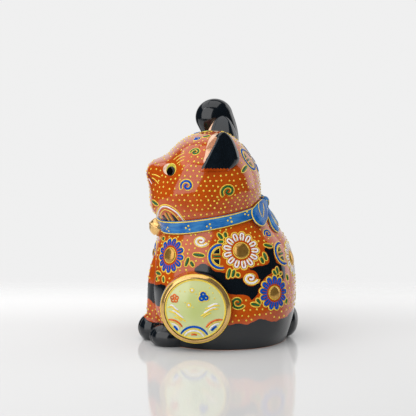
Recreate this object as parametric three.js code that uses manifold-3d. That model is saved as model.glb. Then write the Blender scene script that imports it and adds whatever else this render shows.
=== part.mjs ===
// Beckoning cat in enamelled porcelain. The body and head are hollow slip castings. Ears, limbs,
// haunches, medallions, tail, collar, bow and bell are formed apart and luted on before firing.
// Millimetres, +Z up. The cat looks along -Y and its left side is +X.

import * as THREE from "three";
import { mergeVertices } from "three/addons/utils/BufferGeometryUtils.js";
import Module from "manifold-3d";

const wasm = await Module();
wasm.setup();

// Castings
const WALL = 4;
const SEAM = 0.3; // slip joint left between two luted pieces
const SEGMENTS = 48; // points round each casting
const FOOT_RING_WIDTH = 5;
const FOOT_RECESS = 1.2;
const FLOOR_THICKNESS = 4;
const DRAIN_RADIUS = 8;

// Sections of the two castings from the foot to the crown: height on the axis, reach to the front,
// reach to the back, half width, and squareness, where 2 is an ellipse and more is boxier.
// Heights in the head are shares of the way from the neck to the top.
const FOOT = { height: 0, front: 31, back: 36.8, half: 34.6, square: 2.1 };
const RUMP = { height: 9, front: 33.5, back: 39.8, half: 36.6, square: 2.5 };
const HIP = { height: 20, front: 35, back: 41.4, half: 36.8, square: 2.7 };
const WAIST = { height: 33, front: 35.6, back: 41.3, half: 35.2, square: 2.6 };
const CHEST = { height: 47, front: 34.6, back: 37.9, half: 32.2, square: 2.4 };
const SHOULDER = { height: 58, front: 33, back: 29.8, half: 29.4, square: 2.2 };
const NECK = { height: 67.5, front: 29.2, back: 23.6, half: 26.8, square: 2.2 };
const TOP = { height: 111.6, front: 2, back: -2, half: 0, square: 2 };
const headHeight = (share) => NECK.height + share * (TOP.height - NECK.height);
const JOWL = { height: headHeight(0.17), front: 36, back: 22.9, half: 29, square: 2.2 };
const CHEEK = { height: headHeight(0.374), front: 35.6, back: 22.6, half: 30.8, square: 2.2 };
const TEMPLE = { height: headHeight(0.578), front: 31, back: 20.6, half: 30, square: 2.2 };
const BROW = { height: headHeight(0.76), front: 25.6, back: 15.6, half: 26.4, square: 2.2 };
const SCALP = { height: headHeight(0.909), front: 18, back: 9.6, half: 19.2, square: 2.1 };
const CROWN = { height: headHeight(0.984), front: 8.6, back: 4, half: 9, square: 2 };
const STATIONS = [
  FOOT, RUMP, HIP, WAIST, CHEST, SHOULDER, NECK, JOWL, CHEEK, TEMPLE, BROW, SCALP, CROWN, TOP,
];
const ROWS_PER_STATION = 2;
const FACE_ROWS = 4; // rows per station where the muzzle stands
const NECK_SLOPE = 0.225; // the neck is higher at the nape than at the chest
const NECK_FADE = 22; // height above the neck over which the sections come level again

// Muzzle raised on the front of the head
const MUZZLE_HEIGHT = headHeight(0.592);
const MUZZLE_REACH = 6.6;
const MUZZLE_HALF_WIDTH = 12;
const MUZZLE_RISE = 3.8; // towards the brow
const MUZZLE_DROP = 8.5; // towards the chin
const MUZZLE_STOP = 2.8; // how squarely the muzzle breaks from the brow
const MUZZLE_CHIN = 2; // how softly it runs out to the chin
const MUZZLE_BREADTH = 3; // how squarely it breaks from the cheeks

// Ears, from a root inside the head to the tip
const EAR_ROOT = [19.4, 0.4, headHeight(0.601)];
const EAR_TIP = [26.2, 1.8, headHeight(1.109)];
const EAR_ANGLE = 20; // degrees that the opening looks outwards
const EAR_RIM = 2; // clay left on the inner side of the scooped front
const EAR_OUTER_RIM = 1; // clay left on its outer side
const EAR_SCOOP = 6; // how far ahead of the ear the scoop lies
// Reaches from the ear's axis at its root. A taper of 1 runs straight to the tip, and less swells.
const EAR_HALF_WIDTH = { reach: 9.3, taper: 0.6 };
const EAR_FRONT_OUTER = { reach: 17.2, taper: 0.86 };
const EAR_FRONT_INNER = { reach: 8, taper: 0.2 };
const EAR_BACK = { reach: 13.2, taper: 0.45 };
const EAR_FRONT_SQUARENESS = 4;
const EAR_BACK_SQUARENESS = 2.6;
const EAR_NAPE = 0.17; // share of the height over which the back swells out of the head
const EAR_NAPE_SOFTNESS = 1.5;

// Raised arm, along its centre line from the shoulder to the paw
const ARM_PATH = [
  [-21, 7, 45], [-28.6, 6, 59], [-31.6, 3.6, 77],
  [-32.2, 1.9, 95], [-32.2, 1.2, 106], [-31.9, -2, 114.6],
];
const ARM_HALF_WIDTH = [7.6, 7.4, 7, 6.8, 6.7, 7.2];
const ARM_HALF_DEPTH = [8.6, 9.8, 10.1, 9.9, 9.6, 10.2];
const PAW_DOME = 9.8;

// Standing foreleg
const FORELEG_PATH = [[5.4, -27, 52], [6, -30.8, 36], [6.3, -31.8, 20], [6.4, -32.2, 8]];
const FORELEG_HALF_WIDTH = [6, 7.2, 7, 7];
const FORELEG_HALF_DEPTH = [5, 6.2, 6.3, 6.2];
const FOREPAW_FORWARD = 35.2;
const FOREPAW_SIZE = [7.9, 7.8, 7.9]; // half width, half length, half height
const FOREPAW_RISE = 6.5;

// Hind feet
const HIND_FOOT_INSET = 15.2; // from the widest section in to the middle of the foot
const HIND_FOOT_SPREAD = HIP.half - HIND_FOOT_INSET;
const HIND_FOOT_FORWARD = 25.2;
const HIND_FOOT_SIZE = [7.8, 11.4, 7.1];
const HIND_FOOT_RISE = 5;

// Haunches and their medallions
const HAUNCH_FORWARD = 11.9;
const HAUNCH_RISE = 23.4;
const HAUNCH_PROUD = 1.2; // from the widest section to the face that the medallion lies on
const HAUNCH_SEAT = Math.max(FOOT.half, RUMP.half, HIP.half, WAIST.half) + HAUNCH_PROUD;
const HAUNCH_MIDDLE = 5; // depth at which the thigh is widest
const HAUNCH_HALF_DEPTH = 20;
const HAUNCH_ANGLE = 5; // degrees towards the front
const RIM_RADIUS = 18.6;
const RIM_WIDTH = 2.3;
const RIM_HEIGHT = 1.7;
const PANEL_DOME = 2.5;
const PANEL_EDGE = 0.9;
const DISC_SEGMENTS = 40;

// Tail
const TAIL_PATH = [
  [0, RUMP.back - 7.8, 3.5], [0, RUMP.back - 3.4, 6], [0, RUMP.back - 2.6, 11.5], [0, RUMP.back - 3.8, 16.2],
];
const TAIL_HALF_WIDTH = [7, 7.4, 6.8, 4.6];
const TAIL_HALF_DEPTH = [4.5, 5.8, 5.7, 4.4];
const TAIL_DOME = 3.4;

// Collar ribbon, bell and bow
const RIBBON_WIDTH = 6.8;
const RIBBON_THICKNESS = 1.5;
const RIBBON_EDGE = 0.7;
const BELL_RADIUS = 5.2;
const BELL_BAND = 0.5;
const BELL_SLOT = 0.9;
const BELL_SLOT_RISE = 2.6; // from the foot of the bell to the top of its slot
const BELL_HANG = 1.9; // from the middle of the ribbon down to the middle of the bell
const BELL_PROUD = 2.2; // how far the bell's middle stands out from the chest
const KNOT_SIZE = [3.4, 2.4, 3.4];
const KNOT_PROUD = 0.2;
const LOOP_ANGLES = [5, 20, 33]; // degrees round from the nape
const LOOP_DROP = [-0.6, 1.8, 4.4]; // below the neck
const LOOP_HALF_WIDTH = [2.4, 5.4, 6.2];
const LOOP_LIFT = 1.3; // the loops lie over the ribbon
const STREAMER_ANGLES = [3.6, 7.4, 10.4];
const STREAMER_DROP = [3, 7.6, 11.4];
const STREAMER_HALF_WIDTH = [1.8, 3.3, 3.6];
const BOW_HALF_THICKNESS = 1.7;

// Faces of the rounded pieces
const LIMB_SIDES = 16;
const LIMB_STEPS = 8;
const EAR_SIDES = 20;
const DOME_STEPS = 4;
const BLOCK_DEPTH = 60; // of the blocks that trim pieces at the floor
const BLOCK_WIDTH = 240;

const MERGE = 1e-4; // points closer than this are one point
const STEP = 1e-3; // step along the skin over which its slope is taken
const HALVINGS = 40; // of the search for a place on the skin

const deg = THREE.MathUtils.degToRad;
const vec = (x, y, z) => new THREE.Vector3(x, y, z);
const range = (count) => Array.from({ length: count }, (_, i) => i);

// Surfaces and solids

// Faces over rows of points, where a row of one point is a pole. With loop the last row joins the first.
function surfaceOver(rows, loop = false) {
  const first = [];
  let total = 0;
  for (const row of rows) {
    first.push(total);
    total += row.length;
  }
  const faces = [];
  for (const i of range(loop ? rows.length : rows.length - 1)) {
    const next = (i + 1) % rows.length;
    const low = rows[i];
    const high = rows[next];
    const sides = Math.max(low.length, high.length);
    if (sides === 1) continue;
    for (const j of range(sides)) {
      const a = first[i] + (j % low.length);
      const b = first[i] + ((j + 1) % low.length);
      const c = first[next] + ((j + 1) % high.length);
      const d = first[next] + (j % high.length);
      if (low.length > 1) faces.push(a, b, c);
      if (high.length > 1) faces.push(a, c, d);
    }
  }
  const geometry = new THREE.BufferGeometry().setFromPoints(rows.flat());
  geometry.setIndex(faces);
  return geometry;
}

function solid(geometry) {
  const bare = geometry.clone();
  for (const name of Object.keys(bare.attributes)) {
    if (name !== "position") bare.deleteAttribute(name);
  }
  const merged = mergeVertices(bare, MERGE);
  return new wasm.Manifold(
    new wasm.Mesh({
      numProp: 3,
      vertProperties: new Float32Array(merged.attributes.position.array),
      triVerts: new Uint32Array(merged.index.array),
    }),
  );
}

function geometryOf(body) {
  const mesh = body.getMesh();
  const geometry = new THREE.BufferGeometry();
  geometry.setAttribute("position", new THREE.BufferAttribute(mesh.vertProperties, 3));
  geometry.setIndex(new THREE.BufferAttribute(mesh.triVerts, 1));
  geometry.computeVertexNormals();
  return geometry;
}

const cut = (body, ...tools) => tools.reduce((left, tool) => left.subtract(tool), body);

// A trimmed piece without the loose offcuts that the trimming leaves
const largest = (body) =>
  body.decompose().reduce((kept, piece) => (piece.volume() > kept.volume() ? piece : kept));

// Tube along a centre line with an oval section. It starts flat, inside what carries it, and ends
// in a dome.
function limb({ path, halfWidth, halfDepth, dome, depthAxis = () => vec(0, 1, 0), grow = 0 }) {
  const line = new THREE.CatmullRomCurve3(path.map((p) => (p.isVector3 ? p : vec(...p))));
  const spread = path.map((_, i) => vec(halfWidth[i], halfDepth[i], 0));
  const ovals = new THREE.CatmullRomCurve3(spread, false, "catmullrom", 0.5);
  const ring = (t, shrink, ahead) => {
    const along = line.getTangent(t);
    const deep = depthAxis(t).clone();
    deep.addScaledVector(along, -deep.dot(along)).normalize();
    const wide = vec(0, 0, 0).crossVectors(deep, along);
    const middle = line.getPoint(t).addScaledVector(along, ahead);
    const oval = ovals.getPoint(t);
    return range(LIMB_SIDES).map((j) => {
      const turn = (2 * Math.PI * j) / LIMB_SIDES;
      return middle
        .clone()
        .addScaledVector(wide, (oval.x + grow) * shrink * Math.cos(turn))
        .addScaledVector(deep, (oval.y + grow) * shrink * Math.sin(turn));
    });
  };
  const rows = [[line.getPoint(0)]];
  for (const i of range(LIMB_STEPS + 1)) rows.push(ring(i / LIMB_STEPS, 1, 0));
  for (const i of range(DOME_STEPS - 1)) {
    const rise = (Math.PI / 2) * ((i + 1) / DOME_STEPS);
    rows.push(ring(1, Math.cos(rise), (dome + grow) * Math.sin(rise)));
  }
  rows.push([line.getPoint(1).addScaledVector(line.getTangent(1), dome + grow)]);
  return solid(surfaceOver(rows));
}

function ellipsoid(centre, size, grow = 0) {
  const geometry = new THREE.SphereGeometry(1, LIMB_SIDES, LIMB_STEPS);
  geometry.rotateX(Math.PI / 2);
  geometry.scale(...size.map((half) => half + grow));
  geometry.translate(...centre);
  return solid(geometry);
}

// Turned piece about its own +Z from [radius, height] points that start and end on the axis
// or come back to the first point.
function turned(profile, segments) {
  const points = profile.map(([radius, height]) => new THREE.Vector2(radius, height));
  return new THREE.LatheGeometry(points, segments).rotateX(Math.PI / 2);
}

const floorBlock = solid(
  new THREE.BoxGeometry(BLOCK_WIDTH, BLOCK_WIDTH, BLOCK_DEPTH).translate(0, 0, -BLOCK_DEPTH / 2),
);

// Skin of the body and head, one surface that the two castings share

const reachCurve = new THREE.CatmullRomCurve3(
  STATIONS.map((s) => vec(s.height, s.front, s.back)), false, "catmullrom", 0.5,
);
const girthCurve = new THREE.CatmullRomCurve3(
  STATIONS.map((s) => vec(s.height, s.half, s.square)), false, "catmullrom", 0.5,
);
const LAST = STATIONS.length - 1;
const NECK_INDEX = STATIONS.indexOf(NECK);
const CHEEK_INDEX = STATIONS.indexOf(CHEEK);
const BROW_INDEX = STATIONS.indexOf(BROW);

function slopeAt(height) {
  const share = height < NECK.height
    ? height / NECK.height
    : Math.max(0, 1 - (height - NECK.height) / NECK_FADE);
  return NECK_SLOPE * share * share;
}

function muzzleAt(x, z) {
  const across = Math.abs(x / MUZZLE_HALF_WIDTH) ** MUZZLE_BREADTH;
  const up = z - MUZZLE_HEIGHT;
  const along = up > 0 ? (up / MUZZLE_RISE) ** MUZZLE_STOP : (-up / MUZZLE_DROP) ** MUZZLE_CHIN;
  return MUZZLE_REACH * Math.exp(-across - along);
}

// Point of the skin at a place between the stations and a turn from the cat's left towards its back.
function skinPoint(place, turn) {
  const { x: height, y: front, z: back } = reachCurve.getPoint(place / LAST);
  const { y: half, z: square } = girthCurve.getPoint(place / LAST);
  const rounded = (value) => Math.sign(value) * Math.abs(value) ** (2 / square);
  const x = Math.max(0, half) * rounded(Math.cos(turn));
  const y = (back - front) / 2 + ((back + front) / 2) * rounded(Math.sin(turn));
  const z = height + slopeAt(height) * y;
  return vec(x, Math.sin(turn) < 0 ? y - muzzleAt(x, z) : y, z);
}

function skinNormal(place, turn) {
  const low = Math.max(0, place - STEP);
  const high = Math.min(LAST - STEP, place + STEP);
  const up = skinPoint(high, turn).sub(skinPoint(low, turn));
  const round = skinPoint(place, turn + STEP).sub(skinPoint(place, turn - STEP));
  return round.cross(up).normalize();
}

const skinOut = (place, turn, out) =>
  skinPoint(place, turn).addScaledVector(skinNormal(place, turn), out);

function placeAt(height) {
  let low = 0;
  let high = LAST;
  for (const _ of range(HALVINGS)) {
    const middle = (low + high) / 2;
    if (reachCurve.getPoint(middle / LAST).x < height) low = middle;
    else high = middle;
  }
  return (low + high) / 2;
}

const turnAt = (j) => (2 * Math.PI * j) / SEGMENTS;
const skinRow = (place, out) => range(SEGMENTS).map((j) => skinOut(place, turnAt(j), out));
const topPole = (out) => [skinPoint(LAST, 0).setZ(TOP.height + out)];
const level = (row, z) => row.map((p) => p.clone().setZ(z));
const lifted = (row, by) => row.map((p) => p.clone().setZ(p.z + by));
const placesFrom = (low, high, perStation) =>
  range((high - low) * perStation + 1).map((i) => low + i / perStation);

const bodyPlaces = placesFrom(0, NECK_INDEX, ROWS_PER_STATION);
const headPlaces = [
  ...placesFrom(NECK_INDEX, CHEEK_INDEX, ROWS_PER_STATION).slice(0, -1),
  ...placesFrom(CHEEK_INDEX, BROW_INDEX, FACE_ROWS).slice(0, -1),
  ...placesFrom(BROW_INDEX, LAST, ROWS_PER_STATION).slice(0, -1),
];

// The whole skin as a solid, grown by a joint's width, to trim what is luted on
function figureBlock(grow) {
  const rows = [...bodyPlaces, ...headPlaces.slice(1)].map((p) => skinRow(p, grow));
  const under = level(rows[0], -BLOCK_DEPTH);
  return solid(surfaceOver([[vec(0, 0, -BLOCK_DEPTH)], under, ...rows, topPole(grow)]));
}

function bodyShell() {
  const floorTop = FOOT_RECESS + FLOOR_THICKNESS;
  const outside = bodyPlaces.map((p) => skinRow(p, 0));
  outside[0] = level(outside[0], 0);
  outside.push(lifted(outside.pop(), -SEAM / 2));
  const inside = placesFrom(1, NECK_INDEX, 1).reverse().map((p) => skinRow(p, -WALL));
  inside[0] = range(SEGMENTS).map((j) => inside[0][j].setZ(outside.at(-1)[j].z));
  const floorEdge = level(skinRow(placeAt(floorTop), -WALL), floorTop);
  const drain = range(SEGMENTS).map((j) =>
    vec(DRAIN_RADIUS * Math.cos(turnAt(j)), DRAIN_RADIUS * Math.sin(turnAt(j)), 0));
  const footInside = level(skinRow(0, -FOOT_RING_WIDTH), 0);
  const underside = [
    level(drain, floorTop), level(drain, FOOT_RECESS), level(footInside, FOOT_RECESS), footInside,
  ];
  return surfaceOver([...outside, ...inside, floorEdge, ...underside], true);
}

function headShell() {
  const outside = headPlaces.map((p) => skinRow(p, 0));
  outside[0] = lifted(outside[0], SEAM / 2);
  const inside = placesFrom(NECK_INDEX, LAST - 1, 1).reverse().map((p) => skinRow(p, -WALL));
  const rim = inside.at(-1);
  inside[inside.length - 1] = range(SEGMENTS).map((j) => rim[j].setZ(outside[0][j].z));
  return surfaceOver([...outside, topPole(0), topPole(-WALL), ...inside], true);
}

const figure = figureBlock(SEAM);

// Pieces luted to the castings

// Ribbon that follows the skin over the neck seam, with softened edges
function collarRibbon(grow) {
  const half = RIBBON_WIDTH / 2 + grow;
  const face = SEAM + RIBBON_THICKNESS + grow;
  const under = grow ? 0 : SEAM;
  const section = [
    [-half, under], [-half, face - RIBBON_EDGE], [RIBBON_EDGE - half, face], [0, face + RIBBON_EDGE / 2],
    [half - RIBBON_EDGE, face], [half, face - RIBBON_EDGE], [half, under], [0, under],
  ];
  const rows = section.map(([up, out]) => skinRow(placeAt(NECK.height + up), out));
  return solid(surfaceOver(rows, true));
}

// Ear that swells at the back and is scooped out in front
function ear(side, grow) {
  const cone = (inset, outerInset, ahead) => {
    const root = vec(side * EAR_ROOT[0], EAR_ROOT[1] - ahead, EAR_ROOT[2]);
    const tip = vec(side * EAR_TIP[0], EAR_TIP[1] - ahead, EAR_TIP[2] - inset);
    const upright = vec(0, 0, 1);
    const edgeAt = (share, turn) => {
      const inFront = Math.sin(turn) < 0;
      const outward = (1 + side * Math.cos(turn)) / 2;
      const clay = outward > 0.5 ? outerInset : inset;
      const reachOf = ({ reach, taper }) => (reach - clay) * (1 - share) ** taper;
      const swell = 1 - Math.exp(-((share / EAR_NAPE) ** EAR_NAPE_SOFTNESS));
      const front = THREE.MathUtils.lerp(reachOf(EAR_FRONT_INNER), reachOf(EAR_FRONT_OUTER), outward);
      const depth = inFront ? front : reachOf(EAR_BACK) * swell;
      const power = 2 / (inFront ? EAR_FRONT_SQUARENESS : EAR_BACK_SQUARENESS);
      const rounded = (value) => Math.sign(value) * Math.abs(value) ** power;
      return vec(reachOf(EAR_HALF_WIDTH) * rounded(Math.cos(turn)), depth * rounded(Math.sin(turn)), 0)
        .applyAxisAngle(upright, deg(side * EAR_ANGLE))
        .add(root.clone().lerp(tip, share));
    };
    const shares = range(LIMB_STEPS).slice(1).map((i) => Math.sin((Math.PI / 2) * (i / LIMB_STEPS)));
    const rows = shares.map((share) =>
      range(EAR_SIDES).map((j) => edgeAt(share, (2 * Math.PI * j) / EAR_SIDES)));
    return solid(surfaceOver([[root], ...rows, [tip]]));
  };
  const outside = cone(-grow, -grow, 0);
  return grow ? outside : cut(outside, cone(EAR_RIM, EAR_OUTER_RIM, EAR_SCOOP), figure);
}

function raisedArm() {
  const arm = limb({
    path: ARM_PATH, halfWidth: ARM_HALF_WIDTH, halfDepth: ARM_HALF_DEPTH, dome: PAW_DOME,
  });
  return cut(arm, figure, collarRibbon(SEAM), ear(-1, SEAM));
}

function foreleg(grow) {
  const leg = limb({
    path: FORELEG_PATH, halfWidth: FORELEG_HALF_WIDTH, halfDepth: FORELEG_HALF_DEPTH, dome: SEAM, grow,
  });
  const paw = ellipsoid([FORELEG_PATH.at(-1)[0], -FOREPAW_FORWARD, FOREPAW_RISE], FOREPAW_SIZE, grow);
  return leg.add(paw);
}

// Frame of a haunch: its own +Z points out of the thigh, and its origin is the middle of the face.
function haunchFrame(side) {
  const group = new THREE.Group();
  group.position.set(side * HAUNCH_SEAT, -HAUNCH_FORWARD, HAUNCH_RISE);
  group.rotation.set(0, deg(side * 90), 0);
  group.rotateX(deg(HAUNCH_ANGLE));
  group.updateMatrix();
  return group;
}

// Swelling thigh with a flat seat for its medallion
function haunch(side, grow) {
  const seat = RIM_RADIUS + SEAM;
  const top = Math.asin(HAUNCH_MIDDLE / HAUNCH_HALF_DEPTH);
  const widest = seat / Math.cos(top);
  const swell = range(LIMB_STEPS).map((i) => {
    const turn = THREE.MathUtils.lerp(-Math.PI / 2, top, i / LIMB_STEPS);
    const out = Math.max(0, (widest + grow) * Math.cos(turn));
    return [out, (HAUNCH_HALF_DEPTH + grow) * Math.sin(turn) - HAUNCH_MIDDLE];
  });
  const profile = [...swell, [seat + grow, grow], [0, grow]];
  return solid(turned(profile, DISC_SEGMENTS).applyMatrix4(haunchFrame(side).matrix));
}

function medallionRim() {
  const inner = RIM_RADIUS - RIM_WIDTH;
  const crest = range(DOME_STEPS * 2 + 1).map((i) => {
    const turn = (Math.PI * i) / (DOME_STEPS * 2);
    const middle = inner + RIM_WIDTH / 2;
    return [middle + (RIM_WIDTH / 2) * Math.cos(turn), SEAM + RIM_HEIGHT * Math.sin(turn)];
  });
  return turned([...crest, crest[0]], DISC_SEGMENTS);
}

function medallionPanel() {
  const radius = RIM_RADIUS - RIM_WIDTH - SEAM;
  const rows = DOME_STEPS;
  const dome = range(rows + 1).map((i) => {
    const out = radius * (1 - i / rows);
    return [out, SEAM + PANEL_EDGE + (PANEL_DOME - PANEL_EDGE) * (1 - (out / radius) ** 2)];
  });
  return turned([[0, SEAM], [radius, SEAM], ...dome], DISC_SEGMENTS);
}

function hindFoot(side) {
  const centre = [side * HIND_FOOT_SPREAD, -HIND_FOOT_FORWARD, HIND_FOOT_RISE];
  const raw = ellipsoid(centre, HIND_FOOT_SIZE);
  return cut(raw, figure, haunch(side, SEAM), foreleg(SEAM), floorBlock);
}

function tail() {
  const raw = limb({
    path: TAIL_PATH, halfWidth: TAIL_HALF_WIDTH, halfDepth: TAIL_HALF_DEPTH, dome: TAIL_DOME,
  });
  return cut(raw, figure, floorBlock);
}

// Bell with a raised band round its middle and a slot below
function bell() {
  const steps = LIMB_STEPS * 2;
  const profile = range(steps + 1).map((i) => {
    const rise = -Math.PI / 2 + (Math.PI * i) / steps;
    const band = Math.abs(i - steps / 2) <= 1 ? BELL_BAND : 0;
    return [Math.max(0, (BELL_RADIUS + band) * Math.cos(rise)), BELL_RADIUS * Math.sin(rise)];
  });
  const hung = skinOut(placeAt(NECK.height - BELL_HANG), -Math.PI / 2, BELL_PROUD);
  const ball = solid(turned(profile, LIMB_SIDES).translate(hung.x, hung.y, hung.z));
  const slot = new THREE.BoxGeometry(2 * BELL_RADIUS, BELL_SLOT, 2 * BELL_SLOT_RISE);
  slot.translate(hung.x, hung.y - BELL_RADIUS / 2, hung.z - BELL_RADIUS);
  return largest(cut(ball, solid(slot), figure, collarRibbon(SEAM)));
}

function bowKnot(grow) {
  const middle = skinOut(NECK_INDEX, Math.PI / 2, RIBBON_THICKNESS + KNOT_PROUD);
  return ellipsoid(middle.toArray(), KNOT_SIZE, grow);
}

// Loop or streamer of the bow, a soft strip that lies on the back
function bowStrip(side, spread, drop, halfWidth, lift, grow) {
  const turns = spread.map((angle) => Math.PI / 2 - side * deg(angle));
  const places = drop.map((down) => placeAt(NECK.height - down));
  const path = turns.map((turn, i) => skinOut(places[i], turn, SEAM + lift));
  const depthAxis = (t) => skinNormal(
    THREE.MathUtils.lerp(places[0], places.at(-1), t),
    THREE.MathUtils.lerp(turns[0], turns.at(-1), t),
  );
  const halfDepth = halfWidth.map(() => BOW_HALF_THICKNESS);
  return limb({ path, halfWidth, halfDepth, dome: halfWidth.at(-1), depthAxis, grow });
}

const loopStrip = (side, grow) =>
  bowStrip(side, LOOP_ANGLES, LOOP_DROP, LOOP_HALF_WIDTH, LOOP_LIFT, grow);

const bowLoop = (side) => cut(loopStrip(side, 0), figure, collarRibbon(SEAM), bowKnot(SEAM));

function bowStreamer(side) {
  const strip = bowStrip(side, STREAMER_ANGLES, STREAMER_DROP, STREAMER_HALF_WIDTH, 0, 0);
  return cut(strip, figure, collarRibbon(SEAM), bowKnot(SEAM), loopStrip(side, SEAM));
}

// Assembly

const glaze = (colour, roughness, metalness = 0) =>
  new THREE.MeshStandardMaterial({ color: colour, roughness, metalness });
const persimmon = glaze(0xb84a12, 0.15);
const black = glaze(0x10161c, 0.12);
const gold = glaze(0xc9973a, 0.2, 1);
const celadon = glaze(0xbfcf8a, 0.18);
const ribbonBlue = glaze(0x1f6fb0, 0.2);

const cat = new THREE.Group();

function put(parent, name, shape, material) {
  const mesh = new THREE.Mesh(shape.isBufferGeometry ? shape : geometryOf(shape), material);
  mesh.name = name;
  parent.add(mesh);
}

put(cat, "body_shell", bodyShell(), persimmon);
put(cat, "head_shell", headShell(), persimmon);
put(cat, "collar_ribbon", collarRibbon(0), ribbonBlue);
put(cat, "bell", bell(), gold);
put(cat, "bow_knot", cut(bowKnot(0), figure, collarRibbon(SEAM)), ribbonBlue);
put(cat, "raised_right_arm", raisedArm(), black);
put(cat, "left_foreleg", cut(foreleg(0), figure, floorBlock), persimmon);
put(cat, "tail", tail(), black);
for (const [name, side] of [["left", 1], ["right", -1]]) {
  put(cat, `${name}_ear`, ear(side, 0), black);
  put(cat, `${name}_hind_foot`, hindFoot(side), black);
  put(cat, `${name}_haunch`, cut(haunch(side, 0), figure, floorBlock), black);
  put(cat, `bow_${name}_loop`, bowLoop(side), ribbonBlue);
  put(cat, `bow_${name}_streamer`, bowStreamer(side), ribbonBlue);
  const frame = haunchFrame(side);
  put(frame, `${name}_medallion_rim`, medallionRim(), gold);
  put(frame, `${name}_medallion_panel`, medallionPanel(), celadon);
  cat.add(frame);
}

export default cat;
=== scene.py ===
"""Beckoning cat in enamelled porcelain: castings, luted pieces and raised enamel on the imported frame.

Lengths are worked in millimetres, in the frame's axes: +Z up, -Y the way the cat looks, +X its left side.
"""

from math import asin, cos, degrees, exp, pi, radians, sin, sqrt

import bpy
import numpy as np
from bpy.props import FloatProperty, FloatVectorProperty, IntProperty, PointerProperty
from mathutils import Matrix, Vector
from mathutils.bvhtree import BVHTree
from mathutils.kdtree import KDTree


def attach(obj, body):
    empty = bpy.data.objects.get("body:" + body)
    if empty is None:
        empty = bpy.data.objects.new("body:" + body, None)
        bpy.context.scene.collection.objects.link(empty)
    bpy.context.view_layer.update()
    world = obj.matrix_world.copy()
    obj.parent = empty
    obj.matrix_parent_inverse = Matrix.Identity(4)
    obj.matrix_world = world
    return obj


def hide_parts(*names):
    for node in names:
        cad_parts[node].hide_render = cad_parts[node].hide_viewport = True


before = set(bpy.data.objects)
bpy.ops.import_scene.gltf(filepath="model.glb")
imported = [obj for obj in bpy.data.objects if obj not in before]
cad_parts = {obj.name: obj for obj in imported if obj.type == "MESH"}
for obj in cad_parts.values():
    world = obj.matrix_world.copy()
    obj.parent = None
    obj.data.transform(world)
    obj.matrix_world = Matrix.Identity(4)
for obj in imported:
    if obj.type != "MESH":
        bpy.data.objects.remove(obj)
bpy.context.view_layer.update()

bl_info = {
    "name": "Beckoning cat",
    "version": (1, 0, 0),
    "blender": (4, 5, 0),
    "location": "View3D > Sidebar > Cat",
    "description": "Builds an enamelled porcelain cat and its studio",
    "category": "Object",
}

MM = 0.001
SIDES = (("left", 1), ("right", -1))
UPWARDS = np.array([0.0, 0.0, 1.0])
BACKWARDS = np.array([0.0, 1.0, 0.0])
CASTING_CREASE = radians(50)  # angles above which an edge stays sharp
CUT_CREASE = radians(60)
BLOCK_FACES = [(0, 2, 3, 1), (4, 5, 7, 6), (0, 1, 5, 4), (2, 6, 7, 3), (0, 4, 6, 2), (1, 3, 7, 5)]
BLOCK_REACH, BLOCK_DEPTH = 90, 60  # of a block that cuts away all below a level

# Castings
WALL = 4
SEAM = 0.3
FOOT_RING_WIDTH = 5
FOOT_RECESS = 1.2
FLOOR_THICKNESS = 4
DRAIN_RADIUS = 8
COLUMNS = 320
ROWS_PER_STATION = 20
INSIDE_ROWS = 4
BITE = 1.5  # how deep a luted piece is let into the casting
SHALLOW_BITE = 0.8  # the same for the bow and the bell
CORE_COLUMNS, CORE_ROWS = 144, 110  # of the drawn-in skin that trims
CORE_START, CORE_END = 0.02, 0.2  # distances from the first and last section
CORE_FLOOR = -20
SKIN_STEP = 2e-3  # for taking directions
TURN_SAMPLES, PLACE_SAMPLES = 20001, 4001

# Sections from the foot to the crown: height, reach to the front, to the back, half width, squareness
NECK_HEIGHT = 67.5
TOP_HEIGHT = 111.6


def head_height(share):
    return NECK_HEIGHT + share * (TOP_HEIGHT - NECK_HEIGHT)


STATIONS = np.array([
    (0, 31, 36.8, 34.6, 2.1),
    (9, 33.5, 39.8, 36.6, 2.5),
    (20, 35, 41.4, 36.8, 2.7),
    (33, 35.6, 41.3, 35.2, 2.6),
    (47, 34.6, 37.9, 32.2, 2.4),
    (58, 33, 29.8, 29.4, 2.2),
    (NECK_HEIGHT, 29.2, 23.6, 26.8, 2.2),
    (head_height(0.17), 36, 22.9, 29, 2.2),
    (head_height(0.374), 35.6, 22.6, 30.8, 2.2),
    (head_height(0.578), 31, 20.6, 30, 2.2),
    (head_height(0.76), 25.6, 15.6, 26.4, 2.2),
    (head_height(0.909), 18, 9.6, 19.2, 2.1),
    (head_height(0.984), 8.6, 4, 9, 2),
    (TOP_HEIGHT, 2, -2, 0, 2),
])
LAST = len(STATIONS) - 1
NECK = 6
WAIST = 3
CROWN_PLACE = -2  # where the last section lies along the body
NECK_SLOPE = 0.225
NECK_FADE = 22
MUZZLE_HEIGHT = head_height(0.592)
MUZZLE_REACH = 6.6
MUZZLE_HALF_WIDTH = 12
MUZZLE_BREADTH = 3
MUZZLE_RISE = (3.8, 2.8)  # reach of the snout towards the brow, and abruptness
MUZZLE_DROP = (8.5, 2)  # the same towards the chin
BACK, FRONT = 0.25, 0.75  # shares of the way round from the cat's left

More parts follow.
